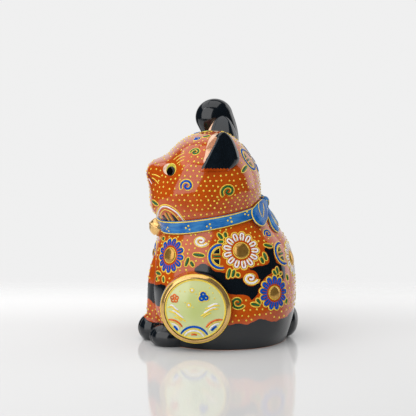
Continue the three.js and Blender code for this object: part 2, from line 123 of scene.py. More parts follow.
# Ears
EAR_ROOT = np.array([19.4, 0.4, head_height(0.601)])
EAR_TIP = np.array([26.2, 1.8, head_height(1.109)])
EAR_HALF_WIDTH = (9.3, 0.6)  # reach at the root, and the power by which it tapers
EAR_BACK = (13.2, 0.45)
EAR_FRONT_OUTER = (17.2, 0.86)
EAR_FRONT_INNER = (12, 0.6)
EAR_NAPE = (0.17, 0.03, 1.5)  # share of the height in which the back swells, its start and abruptness
EAR_SQUARENESS = (4, 2.6)  # of the front and of the back
EAR_ANGLE = radians(20)
EAR_SCOOP = (1.3, 2.4, 6)  # inner rim, outer rim, and how far ahead it lies
EAR_SCOOP_PAINT = (0.85, 0.1)  # how far the peach covers the two rims
EAR_NEAR = 8  # how far from the scoop its paint is measured
EAR_PAINT_EDGE = 169.3  # pixel row where the ears' coal ends
EAR_JAGS = [(0.5, 1.9, 0), (0.35, 3.7, 1)]  # height, pitch and shift of its waves
EAR_FOOT = 171.2  # pixel row where the ears end
EAR_ROWS = 50
EAR_SOFTENING = (0.28, 4)  # cell size and rounds of smoothing

# Limbs: points of the centre line with half width and half depth
ARM = [
    (-21, 7, 45, 7.6, 8.6), (-28.6, 6, 59, 7.4, 9.8), (-31.6, 3.6, 77, 7, 10.1),
    (-32.2, 1.9, 95, 6.8, 9.9), (-32.2, 1.2, 106, 6.7, 9.6), (-31.9, -2, 114.6, 7.2, 10.2),
]
PAW_DOME = 9.8
FORELEG = [
    (5.4, -27, 52, 6, 5), (6, -30.8, 36, 7.2, 6.2), (6.3, -31.8, 20, 7, 6.3), (6.4, -32.2, 8, 7, 6.2),
]
FOREPAW_CENTRE = (6.4, -35.2, 6.5)
FOREPAW_SIZE = (7.9, 7.8, 7.9)
FORELEG_SOFTENING = (0.36, 5)
HIND_FOOT_CENTRE = (21.6, -25.2, 5)
HIND_FOOT_SIZE = (7.8, 11.4, 7.1)
TOE_GROOVES = (-2.5, 2.5)  # places across a paw
TOE_GROOVE_WIDTH = 0.55
TOE_GROOVE_DEPTH = 0.75
TOE_REACH = 7.8
TOE_FADE = 1.5
TAIL = [
    (0, 32, 3.5, 7, 4.5), (0, 36.4, 6, 7.4, 5.8), (0, 37.2, 11.5, 6.8, 5.7), (0, 36, 16.2, 4.6, 4.4),
]
TAIL_DOME = 3.4
LIMB_SIDES = 72
LIMB_STEPS = 90
LIMB_STEP = 1e-3  # for taking directions
DOME_STEPS = 22
BALL_STEPS = 40

# Haunches and medallions
HAUNCH_CENTRE = (38, -11.9, 23.4)
HAUNCH_MIDDLE = 5
HAUNCH_HALF_DEPTH = 20
HAUNCH_ANGLE = radians(5)
HAUNCH_STEPS = 60
HAUNCH_FACE = 0.6  # ring on the flat face, as a share of its radius
RIM_RADIUS = 18.6
RIM_WIDTH = 1.8
RIM_HEIGHT = 1.6
RIM_SWELL = 0.12  # of the slope, as a share of the height
RIM_STEP = 0.2  # the rim's inner edge
RIM_STEPS = 21
RIM_LINE_LIFT = 0.25  # of the yellow line round the rim's foot
PANEL_RADIUS = RIM_RADIUS - RIM_WIDTH - SEAM
PANEL_DOME = 2.5
PANEL_EDGE = 0.9
PANEL_STEPS = 48
DISC_ROOT = -0.2  # how far rims and panels go into the haunch
DISC_SEGMENTS = 144

# Collar, bell and bow
RIBBON_WIDTH = 6.8
RIBBON_LIFT = 0.3
RIBBON_THICKNESS = 1.5
RIBBON_CROWN = 0.21
RIBBON_SQUARENESS = 0.35
RIBBON_ROOT = -0.2
RIBBON_SINK = 0.1
RIBBON_STEPS = 26
RIBBON_STRETCH, STRIP_STRETCH, KNOT_STRETCH = 4, 0.4, 0.3  # of the brush strokes
RIBBON_EDGE_ROW = 3  # row with the yellow line, from either end
BELL_RADIUS = 5.2
BELL_BAND = 0.5
BELL_BAND_RISE = 0.13  # radians over which the band fades
BELL_SLOT = 0.9
BELL_SLOT_REACH = 0.6  # share of the radius
BELL_HANG = 1.9
BELL_PROUD = 2.5
BELL_LEAN = radians(22)
BELL_STEPS = 61
KNOT_SIZE = (3.4, 2.4, 3.4)
KNOT_PROUD = 0.2
KNOT_PLEATS = (0.05, 4.6, 0.97)  # depth, pitch and size
KNOT_LINE, KNOT_LINE_POINTS = 2.3, 14  # half length and half gap of its two lines, and points of each
KNOT_BEHIND = 4
LOOP = [(5, -0.6, 2.4), (21, 1.2, 4.9), (36.5, 3.2, 5.6)]  # degrees from the nape, drop, half width
STREAMER = [(3.6, 3, 1.8), (9.4, 7.0, 3.7), (14, 10.4, 4.0)]
STRIP_SIDES, STRIP_STEPS = 64, 60
BOW_HALF_THICKNESS = 1.7
BOW_EDGES = np.radians([10, 170])  # turns round a strip where its outline runs
EDGE_START, EDGE_POINTS = 0.1, 26  # of the outline along a strip
BEND_POINTS = 15  # of the outline round a strip's end
CREST_START, CREST_POINTS = 0.7, 20  # of the line along a streamer
LOOP_LIFT = 1.3

# The photograph's frame, in which the ornament is laid out
PHOTO_SIZE = 416
PIXEL = 0.536  # millimetres that a pixel covers
PHOTO_MIDDLE = 218
PHOTO_FLOOR = 337
ELEVATION = radians(11)
TO_CAMERA = np.array([cos(ELEVATION), 0, sin(ELEVATION)])
PICTURE_UP = np.array([-sin(ELEVATION), 0, cos(ELEVATION)])
RAY_START = 150
KNOT_STEPS = 8  # points of a drawn line between two of its pixels
OUTLINE_STEP = 0.25

# Outlines of the coal patches in pixels
COAL_SADDLE = [
    (194.5, 270.8), (200.2, 263.7), (207.6, 264.5), (215, 270.5), (225.5, 272.3), (240.2, 277.6),
    (248.6, 268.1), (266.5, 263.9), (268.6, 257.6), (263.9, 248.7), (272.3, 246.6), (275.5, 261.8),
    (282.3, 263.4), (285, 272.3), (281.8, 280.2), (270.7, 273.4), (261.3, 280.8), (260.2, 288.1),
    (251.8, 298.9), (246.5, 294.7), (228.1, 292.6), (219.2, 282.9), (207.6, 277.6),
]
COAL_KNEE = [
    (144, 283), (152.4, 283.4), (157.1, 284.7), (161.8, 283.7), (167, 287), (165.5, 295), (160.3, 305.7),
    (155, 303.9), (149, 299), (144, 297),
]
COAL_FOOT = [
    (134, 313), (145.5, 318.1), (148.2, 320.8), (155, 322.6), (163, 322.6), (200, 325), (230.2, 323.9),
    (236, 322.3), (246.5, 323.4), (251.8, 321.3), (257.1, 318.6), (262.3, 318.1), (267.6, 319.7),
    (273.9, 320.8), (280.2, 318.1), (286.5, 316), (290.7, 311.3), (302, 307), (308, 345), (220, 352),
    (128, 345),
]
# Peach of the scoop where it runs on to the head, in pixels
EAR_HOLLOW = [
    (217, 133), (211, 137), (207.8, 142.8), (206.2, 149.3), (205, 156), (203.4, 161.8), (206, 166),
    (210, 164), (215, 152), (219, 140),
]
ARM_COAL = 74  # height at which the sleeve of the raised arm ends
ARM_JAGS = [(1.2, 3, 0), (0.6, 7, 0)]
ARM_AXIS = (-31, 3)  # across and along the body
COAL_ALL, COAL_NONE = 5.0, -5.0  # of pieces that are all black or have none
MOTIF_MARGIN = 0.62  # from a drawn line to the coal

# Half widths of the piped lines
STROKES = {
    "vine": 0.62, "vine_outline": 0.3, "cobalt_petal": 0.62, "white_petal": 0.5, "petal_accent": 0.2,
    "flower_outline": 0.32, "heart_outline": 0.26, "leaf": 0.76, "leaf_outline": 0.29, "wheel": 0.66,
    "wheel_outline": 0.3, "wheel_bar": 0.56, "wheel_cell": 0.28, "rim": 0.25, "ribbon": 0.34, "bow": 0.32,
    "fold": 0.26, "knot": 0.3, "iris": 0.3, "whisker": 0.3, "lip": 0.32, "mouth": 0.4,
}
LINE_SINK = 0.3  # of a piped line, as a share of its half width
DOME_SHARES = (0.0, 0.3, 0.55, 0.75, 0.88, 0.96, 1.0)  # of the radius, for its rings
DOME_SIDES = 32
DOME_SINK, DOME_ROOT = 0.02, 0.5  # of its edge and its underside
CELL_SHARES = (0.0, 0.5, 0.85, 1.0)
CELL_RISE = 0.16
CELL_SINK, CELL_ROOT = 0.03, 0.4

# Enamels: how deep the colour pools, roughness, and shine
ENAMEL_DEPTH = {"usual": 0.6, "coal": 2.0, "white": 0.86, "yellow": 0.82}
ENAMEL_GLOSS = {"usual": 0.16, "pupil": 0.02}
ENAMEL_SHINE = {"usual": 0.3, "cobalt": 0.06}
LINE_TONES = ("yellow", "cobalt", "white", "green", "orange", "brown")
PATCH_TONES = ("gilt", "coal", "white", "yellow", "blush", "olive", "pupil", "brown")

# Proportions of the motifs
VINE_TURNS = 1.55
VINE_REACH = 0.86  # shares of the radius, as are the yellow line's distances
VINE_OUTSIDE, VINE_INSIDE = 0.24, 0.2
VINE_STRETCHES = [(0.06, 1, 60), (0.42, 1, 60), (1, 0.5, 30)]  # of the vine, and the line round it
VINE_HUB = 0.95
PETAL_GAP, PETAL_TIP = 0.95, 1.1  # from the heart, and from the flower's edge
PETAL_LOOP = 2.55  # radians of a petal's loop on either side of its tip
PETAL_POINTS = 25
PETAL_FULLNESS = (0.6, 0.2)
ACCENT_START, ACCENT_POINTS = 0.2, 6  # of the yellow line in a white petal
LOBE_DEPTH, LOBE_ROUNDNESS, LOBE_POINTS = 2.2, 0.55, 14  # of the outline
FLOWER_HUB = 1.2
HEART_RISE, HEART_FLAT = 1.1, 0.1
HEART_GAP = 0.1
LEAF_POINTS, LEAF_OUTLINE_POINTS = 9, 26
LEAF_ENDS, LEAF_NARROWING = 0.7, 0.3  # width at the ends, and share of the way to full width
LEAF_OVERHANG, LEAF_GIRTH = 0.55, 1.65  # of the yellow line, in half widths of the leaf
WHEEL_LINE = 0.95  # from the rim's middle to its yellow lines
WHEEL_CELLS = 1.6  # from the rim's middle to the cells
WHEEL_BAR = 1.3  # from the bar's middle to the cells
WHEEL_BAR_ENDS = (-0.1, 0.96)  # shares of the reach
WHEEL_FOOT = 0.14  # share of the reach at which the cells start
WHEEL_OPENING = 1.4  # radians that a cell spans
WHEEL_HUB = 0.6
WHEEL_POINTS, WHEEL_EDGE_POINTS = 9, 6  # along an arc or the bar, and along a cell's edge

# Ornament of the visible side: centre in pixels, radius in millimetres and the rest
SPIRALS = [
    (187.1, 186.2, 4.2, "cobalt", 215), (228.2, 191.6, 4.5, "green", 225),
    (195.3, 152.6, 3.2, "green", 200), (196.5, 139.6, 2.9, "cobalt", 180),
    (201, 240.8, 4.3, "white", -20, 0.74), (250.5, 277.6, 4.5, "white", -15, 0.78),
    (237.3, 301.6, 4.1, "green", -25), (267.5, 233.7, 3.2, "cobalt", 190),
]
FLOWERS = [
    (170, 255, 9.9, 4.0, 13, "cobalt"), (241, 250.2, 10.4, 4.2, 13, "white"),
    (274.2, 292.3, 9.5, 3.5, 13, "cobalt"),
]
WHEELS = [(221, 256, 6.2, 75, 285), (282.3, 252.9, 5.8, 70, 290), (248.6, 159.4, 6.2, 0, 360)]
LEAVES = [
    ((218.1, 233.4), (222.3, 238.7)), ((224.9, 232.4), (225.8, 237.1)), ((218.4, 241.9), (223, 241.3)),
    ((188.7, 257.6), (185.8, 265.5)), ((190.8, 261.4), (193.6, 265.8)),
    ((193.6, 253.9), (204.2, 255.4)), ((156.6, 272.3), (161, 274)), ((163.4, 276.4), (164.1, 281.5)),
    ((157.4, 276.9), (156.8, 280.4)), ((260.4, 257.4), (262.9, 262.4)), ((263.2, 252.6), (266, 259.5)),
    ((229.7, 268.4), (227.8, 277.3)), ((234, 269.5), (232.2, 276.2)), ((236.4, 273), (238.7, 275.6)),
    ((272.8, 270.2), (275.5, 274.3)), ((276.2, 267.1), (277, 273.3)), ((279.8, 272.6), (280.6, 274)),
    ((250.8, 302.9), (259, 304.4)), ((256.6, 298.2), (259.6, 302.8)), ((286.4, 298.6), (285.1, 302.8)),
    ((263.6, 244.6), (271.6, 246.2)), ((286.2, 274.5), (287.4, 279.8)),
    ((162.9, 237.6), (164.4, 239.7)), ((241.7, 172.3), (246.4, 166.5)),
    ((152.6, 201.2), (158.4, 204.8)), ((203, 137.8), (209.6, 136.4)),
]
ARCH_LINES = [
    ([(156.2, 219), (156.6, 214.4), (158.9, 208.1), (162.7, 205.3), (168, 205.3), (176.1, 209.6),
      (187.1, 222.5)], "yellow", 0.34),
    ([(158.7, 222), (158.4, 213.4), (161.3, 207.9), (165.6, 206.6), (171.4, 208.8), (178, 213.6),
      (184.7, 222)], "white", 0.46),
    ([(160.6, 222), (160.8, 214.4), (163.7, 210.2), (167.5, 210.2), (173.3, 213.4), (180.4, 222)],
     "yellow", 0.28),
    ([(166.1, 212), (171.8, 222.5)], "green", 0.42),
    ([(164.9, 213.2), (170.5, 222.5)], "yellow", 0.26),
    ([(168.2, 212.6), (174, 222.5)], "yellow", 0.26),
]
ARCH_CELLS = [
    [(162.3, 215.3), (163.7, 214.4), (166.6, 218.2), (169, 221.8), (166.6, 222.2), (163.7, 219.6)],
    [(170.9, 213.9), (174.2, 215.3), (177.1, 218.7), (179.3, 222), (176.1, 222), (173.3, 218.2)],
]
LOOP_LINES = [
    [(258.4, 201.4), (258.7, 209.4), (262, 217.6)],
    [(262.6, 203), (263.6, 209), (262.8, 217)],
]
# Ornament of the hidden sides: share of the way round, height and the rest
BACK_FLOWERS = [(0.212, 41.5, 10, 4, 13, "white"), (0.765, 51, 6.2, 2.5, 11, "cobalt")]
BACK_SPIRALS = [(BACK, 92.0, 4.0, "cobalt", 215), (BACK, 22.0, 3.8, "white", -20)]
ARM_CLEARANCE = 11.5  # from the middle of the raised arm to a motif
ARM_SAMPLES = 60
FLOWER_CLEARANCE = 0.5

# Face: ovals as centre, half width, half height and lean, and strokes, all in pixels
EYE_WHITE = (169.2, 169.6, 5.9, 5.9, 0)
IRIS = (171.4, 170, 4.6, 6.0, 18)
PUPIL = (171.5, 171.6, 4, 4.9, 28)
# Enamel, oval, rise, level share and lift
EYE_DOMES = [
    ("blush", EYE_WHITE, 0.2, 0.7, 0), ("olive", IRIS, 0.18, 0.75, 0.14), ("pupil", PUPIL, 0.7, 0, 0.2),
]
IRIS_EDGE = (-70, 170, 40)  # degrees between which the iris is outlined, and points
IRIS_EDGE_SHARE = 1.02
BROW_STROKES = [
    [(173.7, 160.3), (178.7, 156.5), (184.8, 153.4)], [(176.4, 161.8), (180.2, 158.8), (185.2, 156.9)],
    [(177.3, 164.2), (180.6, 161.9), (184.4, 160)],
]
MOUTH_STROKES = [
    [(152.2, 174.6), (156.5, 175.4), (160.7, 177.7)], [(152.1, 177.9), (155.3, 179.9), (159.1, 184.1)],
]
MOUTH = [(148.4, 174.8), (151, 178.3), (154.9, 182.9)]
LIP = [(148.9, 178.6), (150.6, 181.2), (152.2, 184)]
NOSE_TIP = (0, -60, 88)
NOSE_HALF_WIDTH = 1.2
NOSE_HEIGHTS = (0.4, 0.8)  # above and below, as shares of the half width
NOSE_POINTS = 24
NOSE_RISE = 0.14

# Panel motifs in millimetres along the body and up from the panel's middle
CLOUDS = [
    [(-15, 0.8), (-12.6, 1.2), (-10.5, -0.6), (-8.2, -1.6)],
    [(-14.2, -1.2), (-11, -2.2), (-8.4, -4.2), (-5, -6.6)],
    [(-11.6, -4.2), (-9.4, -4.8), (-7.2, -6.2)], [(13.2, 2.2), (10.2, 2.4), (7.6, 1.2), (5.2, 0.6)],
    [(12.4, 0.6), (8.8, 0.2), (5.8, -1.6), (3, -3.4)], [(8.6, -1.6), (6.2, -2.6), (4.2, -4.2)],
]
CLOUD_LIGHT = (0.3, 0.85)  # from a cloud's yellow line to its white one
CLOUD_LIGHT_ENDS = slice(3, -3)  # points that the white line follows
# Arcs round one middle: radius, first and last degree, enamel, half width
WAVES = [
    ((-0.7, -17.2), [
        (7.9, 18, 162, "cobalt", 0.42), (6.7, 14, 166, "yellow", 0.24), (5.7, 20, 160, "white", 0.34),
        (4.6, 34, 146, "yellow", 0.24), (3.5, 62, 118, "orange", 0.38)]),
    ((-13.3, -13.0), [
        (7.1, 28, 104, "orange", 0.4), (6.0, 22, 96, "yellow", 0.22), (5.0, 20, 84, "white", 0.34),
        (3.8, 16, 66, "cobalt", 0.44)]),
    ((13.0, -13.6), [
        (8.2, 78, 152, "orange", 0.4), (7.1, 84, 158, "yellow", 0.22), (6.0, 92, 160, "white", 0.34),
        (4.7, 108, 156, "cobalt", 0.44)]),
]
# Rings of cells: middle, number, first degree, radius, points, enamel, half width
BLOSSOMS = [(-11.2, 5.8, 5, 90, 0.8, 14, "orange", 0.3), (4.4, 7.0, 3, 100, 1.0, 16, "cobalt", 0.42)]
BLOSSOM_REACH = 1.35
BLOSSOM_EDGE = (1.75, 100, 18)  # of cobalt cells: radius, degrees to either side, points
PANEL_DOTS = [
    (-3.4, 2.5, "white", 0.62), (-1.7, 10.4, "white", 0.62), (-5.4, 3.8, "yellow", 0.34),
    (-1.0, 1.2, "yellow", 0.34), (-5.6, 9.6, "yellow", 0.34), (0.4, 8.4, "yellow", 0.34),
    (9.4, 9.2, "yellow", 0.4), (10.4, 6.2, "yellow", 0.4), (7.6, 11.8, "yellow", 0.34),
    (-8.2, 9.8, "yellow", 0.34),
]
PANEL_DOT_RISE = 0.3
PANEL_DOT_RING = 1.05
WAVE_POINTS, CLOUD_POINTS, DOT_RING_POINTS, PANEL_EDGE_POINTS = 24, 20, 18, 120
PANEL_NARROWING = {"ends": 0.5, "share": 0.2}
PANEL_LINE = 1.6  # the panels are drawn with a wider tube
PANEL_STROKES = {"cloud": 0.3, "cloud_light": 0.32, "blossom_edge": 0.24, "dot_ring": 0.2, "edge": 0.3}
PANEL_EDGE_INSET = 0.35  # of its yellow line
PANEL_CLEARANCE = 0.3  # from the edge to what is drawn

# Beads
BEAD_CLEAR = 1.2  # from a bead's middle to a drawn line
BEAD_COVER = 0.75  # from a bead's middle to a covering piece
BEAD_LIFT = 0.3
BEAD_THINNING = 0.5  # share left at the front and back
BEAD_STRAY = 0.3
BEAD_SIZES = (0.86, 1.14)
BEAD_SEGMENTS, BEAD_RINGS = 8, 5
BEAD_START, BEAD_END = 0.3, 0.06  # distances from the first and last section
BEAD_MERIDIAN = 0.02  # share of the way round where rows are spaced
BEAD_SAMPLES, AROUND_SAMPLES = 3000, 2001
PLACE_SEED, SIZE_SEED = 3, 7
COAL_CLEAR = 0.75
SLEEVE_TOP = ARM_COAL - 2.4
LIMB_BEADS = 12  # in a ring
LIMB_BEAD_START = 0.05
COLLAR_CLUSTERS = [(168, 229.5), (188, 228), (209, 226.4), (229.6, 220.4), (246.4, 214)]  # pixels
CLUSTER = [(0.5, 1.3), (-1.1, 0), (1, -0.7)]
KNOT_DOTS = [(263, 197.4), (266, 201)]  # pixels

# Studio, with the light boxes and the floor's stretches in metres
CAMERA_AIM = (0, -5.36, 70.4)
SENSOR = 36
CAMERA_REACH = 20
FLOOR_BACK, FLOOR_FRONT, FLOOR_HALF = -160, 238, 450
FLOOR_SHADE = (-0.03, 0.24)  # stretch towards the camera over which painted shade darkens the floor
# stretch behind over which painted light brightens the floor
FLOOR_GLOW = (-0.1, -0.02)
# stretch towards the camera from which reflections show the floor painted dark
FLOOR_MIRROR = (0.08, 0.15)
FLOOR_FADE = (-0.155, -0.085)
# colour of the floor's front as reflections show it, a painted shade
MIRRORED_FLOOR_SHADE = (0.05, 0.05, 0.05)
BACKDROP_SIDE = (-1, 0.386, 0)
BACKDROP_SWEEP = (0.5, 0.8)
SURROUND = 0.04  # what reflections show away from the backdrop
LIGHT_AIM = Vector((0, 0, 0.06))
SOFT_BOXES = [
    ("soft_box_front", (0.6, -0.53, 0.34), (0.9, 0.9), 4.4),
    ("soft_box_left", (-0.2, -0.58, 0.8), (1.2, 0.5), 2.5),
    ("soft_box_top", (0.12, -0.04, 0.97), (0.8, 1.0), 3.4),
    ("soft_box_back", (-0.36, 0.78, 0.35), (0.5, 0.8), 1.35),
]


# Surfaces

def spline(knots, place, power=0.0):
    """Smooth curve through knots at places from 0. A power of 0.5 spaces the knots by their distances."""
    knots = np.asarray(knots, float)
    place = np.asarray(place, float)
    ends = np.vstack([2 * knots[0] - knots[1], knots, 2 * knots[-1] - knots[-2]])
    gaps = np.linalg.norm(np.diff(ends[:, :3], axis=0), axis=1) ** power
    i = np.clip(np.floor(place).astype(int), 0, len(knots) - 2)
    t = (place - i)[..., None]
    before, start, end, after = (ends[i + k] for k in range(4))
    d0, d1, d2 = (gaps[i + k][..., None] for k in range(3))
    leave = ((start - before) / d0 - (end - before) / (d0 + d1) + (end - start) / d1) * d1
    arrive = ((end - start) / d1 - (after - start) / (d1 + d2) + (after - end) / d2) * d1
    cubic = 2 * start - 2 * end + leave + arrive
    square = -3 * start + 3 * end - 2 * leave - arrive
    return ((cubic * t + square) * t + leave) * t + start


def flat_spline(knots, places):
    return spline(np.array([(*knot, 0) for knot in knots], float), places)[:, :2]


def unit(vectors):
    vectors = np.asarray(vectors, float)
    return vectors / np.maximum(1e-12, np.linalg.norm(vectors, axis=-1, keepdims=True))


def turns_of(count):
    return 2 * np.pi * np.arange(count) / count


def powered(values, power):
    """Power that keeps the signs."""
    return np.sign(values) * np.abs(values) ** power


def jagged(places, waves):
    return sum(height * np.sin(places * pitch + shift) for height, pitch, shift in waves)


def muzzle_at(x, z):
    above = z > MUZZLE_HEIGHT
    reach = np.where(above, MUZZLE_RISE[0], MUZZLE_DROP[0])
    power = np.where(above, MUZZLE_RISE[1], MUZZLE_DROP[1])
    across = np.abs(x / MUZZLE_HALF_WIDTH) ** MUZZLE_BREADTH
    return MUZZLE_REACH * np.exp(-across - np.abs((z - MUZZLE_HEIGHT) / reach) ** power)


def skin_at_turn(place, turn):
    """Point of the shared skin at a place between stations and a turn from the left."""
    place, turn = np.broadcast_arrays(np.asarray(place, float), np.asarray(turn, float))
    height, front, back, half, square = np.moveaxis(spline(STATIONS, place), -1, 0)
    x = np.maximum(0, half) * powered(np.cos(turn), 2 / square)
    y = (back - front) / 2 + (back + front) / 2 * powered(np.sin(turn), 2 / square)
    fade = np.maximum(0, 1 - (height - NECK_HEIGHT) / NECK_FADE)
    share = np.where(height < NECK_HEIGHT, height / NECK_HEIGHT, fade)
    z = height + NECK_SLOPE * share ** 2 * y
    return np.stack([x, np.where(np.sin(turn) < 0, y - muzzle_at(x, z), y), z], -1)


def way_along(points):
    return np.concatenate([[0], np.cumsum(np.linalg.norm(np.diff(points, axis=0), axis=1))])


def even_turns():
    """Shares of the way round the waist's outline, and the turns that reach them."""
    turn = np.linspace(0, 2 * np.pi, TURN_SAMPLES)
    way = way_along(skin_at_turn(WAIST, turn))
    return way / way[-1], turn


WAY, TURN = even_turns()
AROUND = np.arange(COLUMNS) / COLUMNS
PLACES = np.linspace(0, LAST, PLACE_SAMPLES)
HEIGHTS = spline(STATIONS, PLACES)[:, 0]


def place_at(height):
    return float(np.interp(height, HEIGHTS, PLACES))


def around_at_turn(turn):
    return float(np.interp(turn % (2 * pi), TURN, WAY))


def skin(place, around):
    """The same point by its share of the way round."""
    return skin_at_turn(place, np.interp(np.mod(around, 1), WAY, TURN))


def skin_normal(place, around):
    low = np.maximum(0, np.asarray(place, float) - SKIN_STEP)
    high = np.minimum(LAST - SKIN_STEP, np.asarray(place, float) + SKIN_STEP)
    up = skin(high, around) - skin(low, around)
    along = skin(place, np.asarray(around) + SKIN_STEP) - skin(place, np.asarray(around) - SKIN_STEP)
    return unit(np.cross(along, up))


def skin_out(place, around, out):
    return skin(place, around) + skin_normal(place, around) * out


def crown(depth=0):
    """Row of the one point at the crown, or below it."""
    return [(0, CROWN_PLACE, TOP_HEIGHT - depth)]


# Meshes

def faces_over(rows, loop=False):
    """Vertices and faces over rows of points, where a row of one point is a pole."""
    first = np.concatenate([[0], np.cumsum([len(row) for row in rows])])
    faces = []
    for i in range(len(rows) if loop else len(rows) - 1):
        k = (i + 1) % len(rows)
        low, high = len(rows[i]), len(rows[k])
        count = max(low, high)
        if count == 1:
            continue
        j = np.arange(count)
        a, b = first[i] + j % low, first[i] + (j + 1) % low
        c, d = first[k] + (j + 1) % high, first[k] + j % high
        corners = (a, c, d) if low == 1 else (a, b, c) if high == 1 else (a, b, c, d)
        faces.extend(np.stack(corners, -1).tolist())
    return np.vstack(rows), faces


def joined(pieces):
    points, faces = [], []
    for spots, over in pieces:
        first = sum(len(spots) for spots in points)
        faces += [[i + first for i in face] for face in over]
        points.append(spots)
    return np.vstack(points), faces


def mesh_object(name, points, faces, edges=()):
    """New object from points in millimetres."""
    mesh = bpy.data.meshes.new(name)
    mesh.from_pydata((np.asarray(points) * MM).tolist(), list(edges), faces)
    mesh.validate()
    if faces:
        mesh.shade_smooth()
    made = bpy.data.objects.new(name, mesh)
    bpy.context.scene.collection.objects.link(made)
    return made


def coordinates(made):
    found = np.empty(len(made.data.vertices) * 3)
    made.data.vertices.foreach_get("co", found)
    return found.reshape(-1, 3) / MM


def set_values(made, name, values):
    """Stores a number or a vector for each point."""
    values = np.broadcast_to(np.float32(values), (len(made.data.vertices), *np.shape(values)[1:]))
    kind, key = ("FLOAT_VECTOR", "vector") if values.ndim == 2 else ("FLOAT", "value")
    made.data.attributes.new(name, kind, "POINT").data.foreach_set(key, values.ravel())


def set_way_uv(made, along, across):
    """UV map from shares along and across a piece."""
    corner = np.empty(len(made.data.loops), np.int32)
    made.data.loops.foreach_get("vertex_index", corner)
    pairs = np.stack([np.asarray(along)[corner], np.asarray(across)[corner]], -1)
    made.data.uv_layers.new(name="way").data.foreach_set("uv", pairs.astype(np.float32).ravel())


def tree_of(points, faces):
    return BVHTree.FromPolygons([tuple(p) for p in points], faces)


def tree_of_object(made):
    return tree_of(coordinates(made), [tuple(face.vertices) for face in made.data.polygons])


def discard(made):
    mesh = made.data
    bpy.data.objects.remove(made)
    bpy.data.meshes.remove(mesh)


def apply_modifiers(made):
    seen = made.evaluated_get(bpy.context.evaluated_depsgraph_get())
    mesh = bpy.data.meshes.new_from_object(seen)
    old = made.data
    made.modifiers.clear()
    made.data = mesh
    mesh.name = made.name
    bpy.data.meshes.remove(old)


def trim(made, *tools):
    """Cuts tools away from a piece, and throws the tools away."""
    for tool in tools:
        cut = made.modifiers.new("trim", "BOOLEAN")
        cut.operation = "DIFFERENCE"
        cut.solver = "EXACT"
        cut.object = tool
    apply_modifiers(made)
    for tool in tools:
        discard(tool)
    made.data.shade_smooth()
    made.data.set_sharp_from_angle(angle=CUT_CREASE)


def melt(made, cell_size, rounds):
    """Runs overlapping forms into one soft surface."""
    remesh = made.modifiers.new("melt", "REMESH")
    remesh.mode = "VOXEL"
    remesh.voxel_size = cell_size * MM
    remesh.use_smooth_shade = True
    soften = made.modifiers.new("soften", "SMOOTH")
    soften.factor = 0.5
    soften.iterations = rounds
    apply_modifiers(made)


def skin_core(depth=BITE):
    """The skin drawn in by a depth, to trim what is luted on."""
    around = np.arange(CORE_COLUMNS) / CORE_COLUMNS
    rows = [skin_out(p, around, -depth) for p in np.linspace(CORE_START, LAST - CORE_END, CORE_ROWS)]
    under = rows[0] * (1, 1, 0) + (0, 0, CORE_FLOOR)
    return mesh_object("core", *faces_over([[(0, 0, CORE_FLOOR)], under, *rows, crown(depth)]))


def box_corners(low, high):
    """Corners of a box in BLOCK_FACES order."""
    return [(x, y, z) for z in (low[2], high[2]) for y in (low[1], high[1]) for x in (low[0], high[0])]


def block_below(level, across=(1, 0, 0), up=(0, 0, 1)):
    """Block below a level, square to the directions across and up."""
    corners = box_corners((-BLOCK_REACH, -BLOCK_REACH, -BLOCK_DEPTH), (BLOCK_REACH, BLOCK_REACH, level))
    points = [x * np.array(across) + (0, y, 0) + z * np.array(up) for x, y, z in corners]
    return mesh_object("block", points, BLOCK_FACES)


def limb_ring(knots, place, turns, deep, shrink=1.0, ahead=0.0):
    knots = np.asarray(knots, float)
    low, high = max(0, place - LIMB_STEP), min(len(knots) - 1, place + LIMB_STEP)
    along = unit(np.diff(spline(knots[:, :3], np.array([low, high]), 0.5), axis=0)[0])
    deep = unit(deep - along * np.dot(deep, along))
    wide = np.cross(deep, along)
    middle = spline(knots[:, :3], np.array(place), 0.5) + along * ahead
    half_width, half_depth = spline(knots[:, 3:], np.array(place)) * shrink
    across = half_width * np.cos(turns)[:, None] * wide
    return middle + across + half_depth * np.sin(turns)[:, None] * deep


def limb_rows(knots, dome_height, deep=lambda place: BACKWARDS, sides=LIMB_SIDES, steps=LIMB_STEPS):
    """Rows over a limb that starts flat and ends in a dome."""
    turns = turns_of(sides)
    last = len(knots) - 1
    rows = [spline(np.asarray(knots, float)[:, :3], np.array([0.0]), 0.5)]
    for place in np.linspace(0, last, steps):
        rows.append(limb_ring(knots, place, turns, deep(place)))
    for rise in np.linspace(0, np.pi / 2, DOME_STEPS)[1:-1]:
        rows.append(limb_ring(knots, last, turns, deep(last), np.cos(rise), dome_height * np.sin(rise)))
    rows.append(limb_ring(knots, last, np.zeros(1), deep(last), 0.0, dome_height))
    return rows


def ellipsoid_rows(centre, size):
    turns = turns_of(LIMB_SIDES)
    rows = []
    for rise in np.linspace(-np.pi / 2, np.pi / 2, BALL_STEPS):
        across, along = np.cos(rise) * np.cos(turns), np.cos(rise) * np.sin(turns)
        ring = np.stack([across, along, np.full(LIMB_SIDES, np.sin(rise))], -1) * size + centre
        rows.append(ring[:1] if abs(rise) > np.pi / 2 - 1e-6 else ring)
    return rows


def haunch_frame(side):
    """Middle of a haunch's face, and its directions along, up and out."""
    tilt = cos(HAUNCH_ANGLE), sin(HAUNCH_ANGLE)
    out = np.array([side * tilt[0], -tilt[1], 0])
    along = np.array([side * tilt[1], tilt[0], 0])
    return np.array(HAUNCH_CENTRE) * (side, 1, 1), along, UPWARDS, out


def turned_rows(profile, side):
    """Rows turned about a haunch's axis from radius and height pairs."""
    centre, along, up, out = haunch_frame(side)
    turns = turns_of(DISC_SEGMENTS) * side
    spokes = np.cos(turns)[:, None] * along + np.sin(turns)[:, None] * up
    rows = []
    for radius, height in profile:
        row = centre + out * height + spokes * radius
        rows.append(row[:1] if radius < 1e-9 else row)
    return rows


# Ornament on a carrier's surface

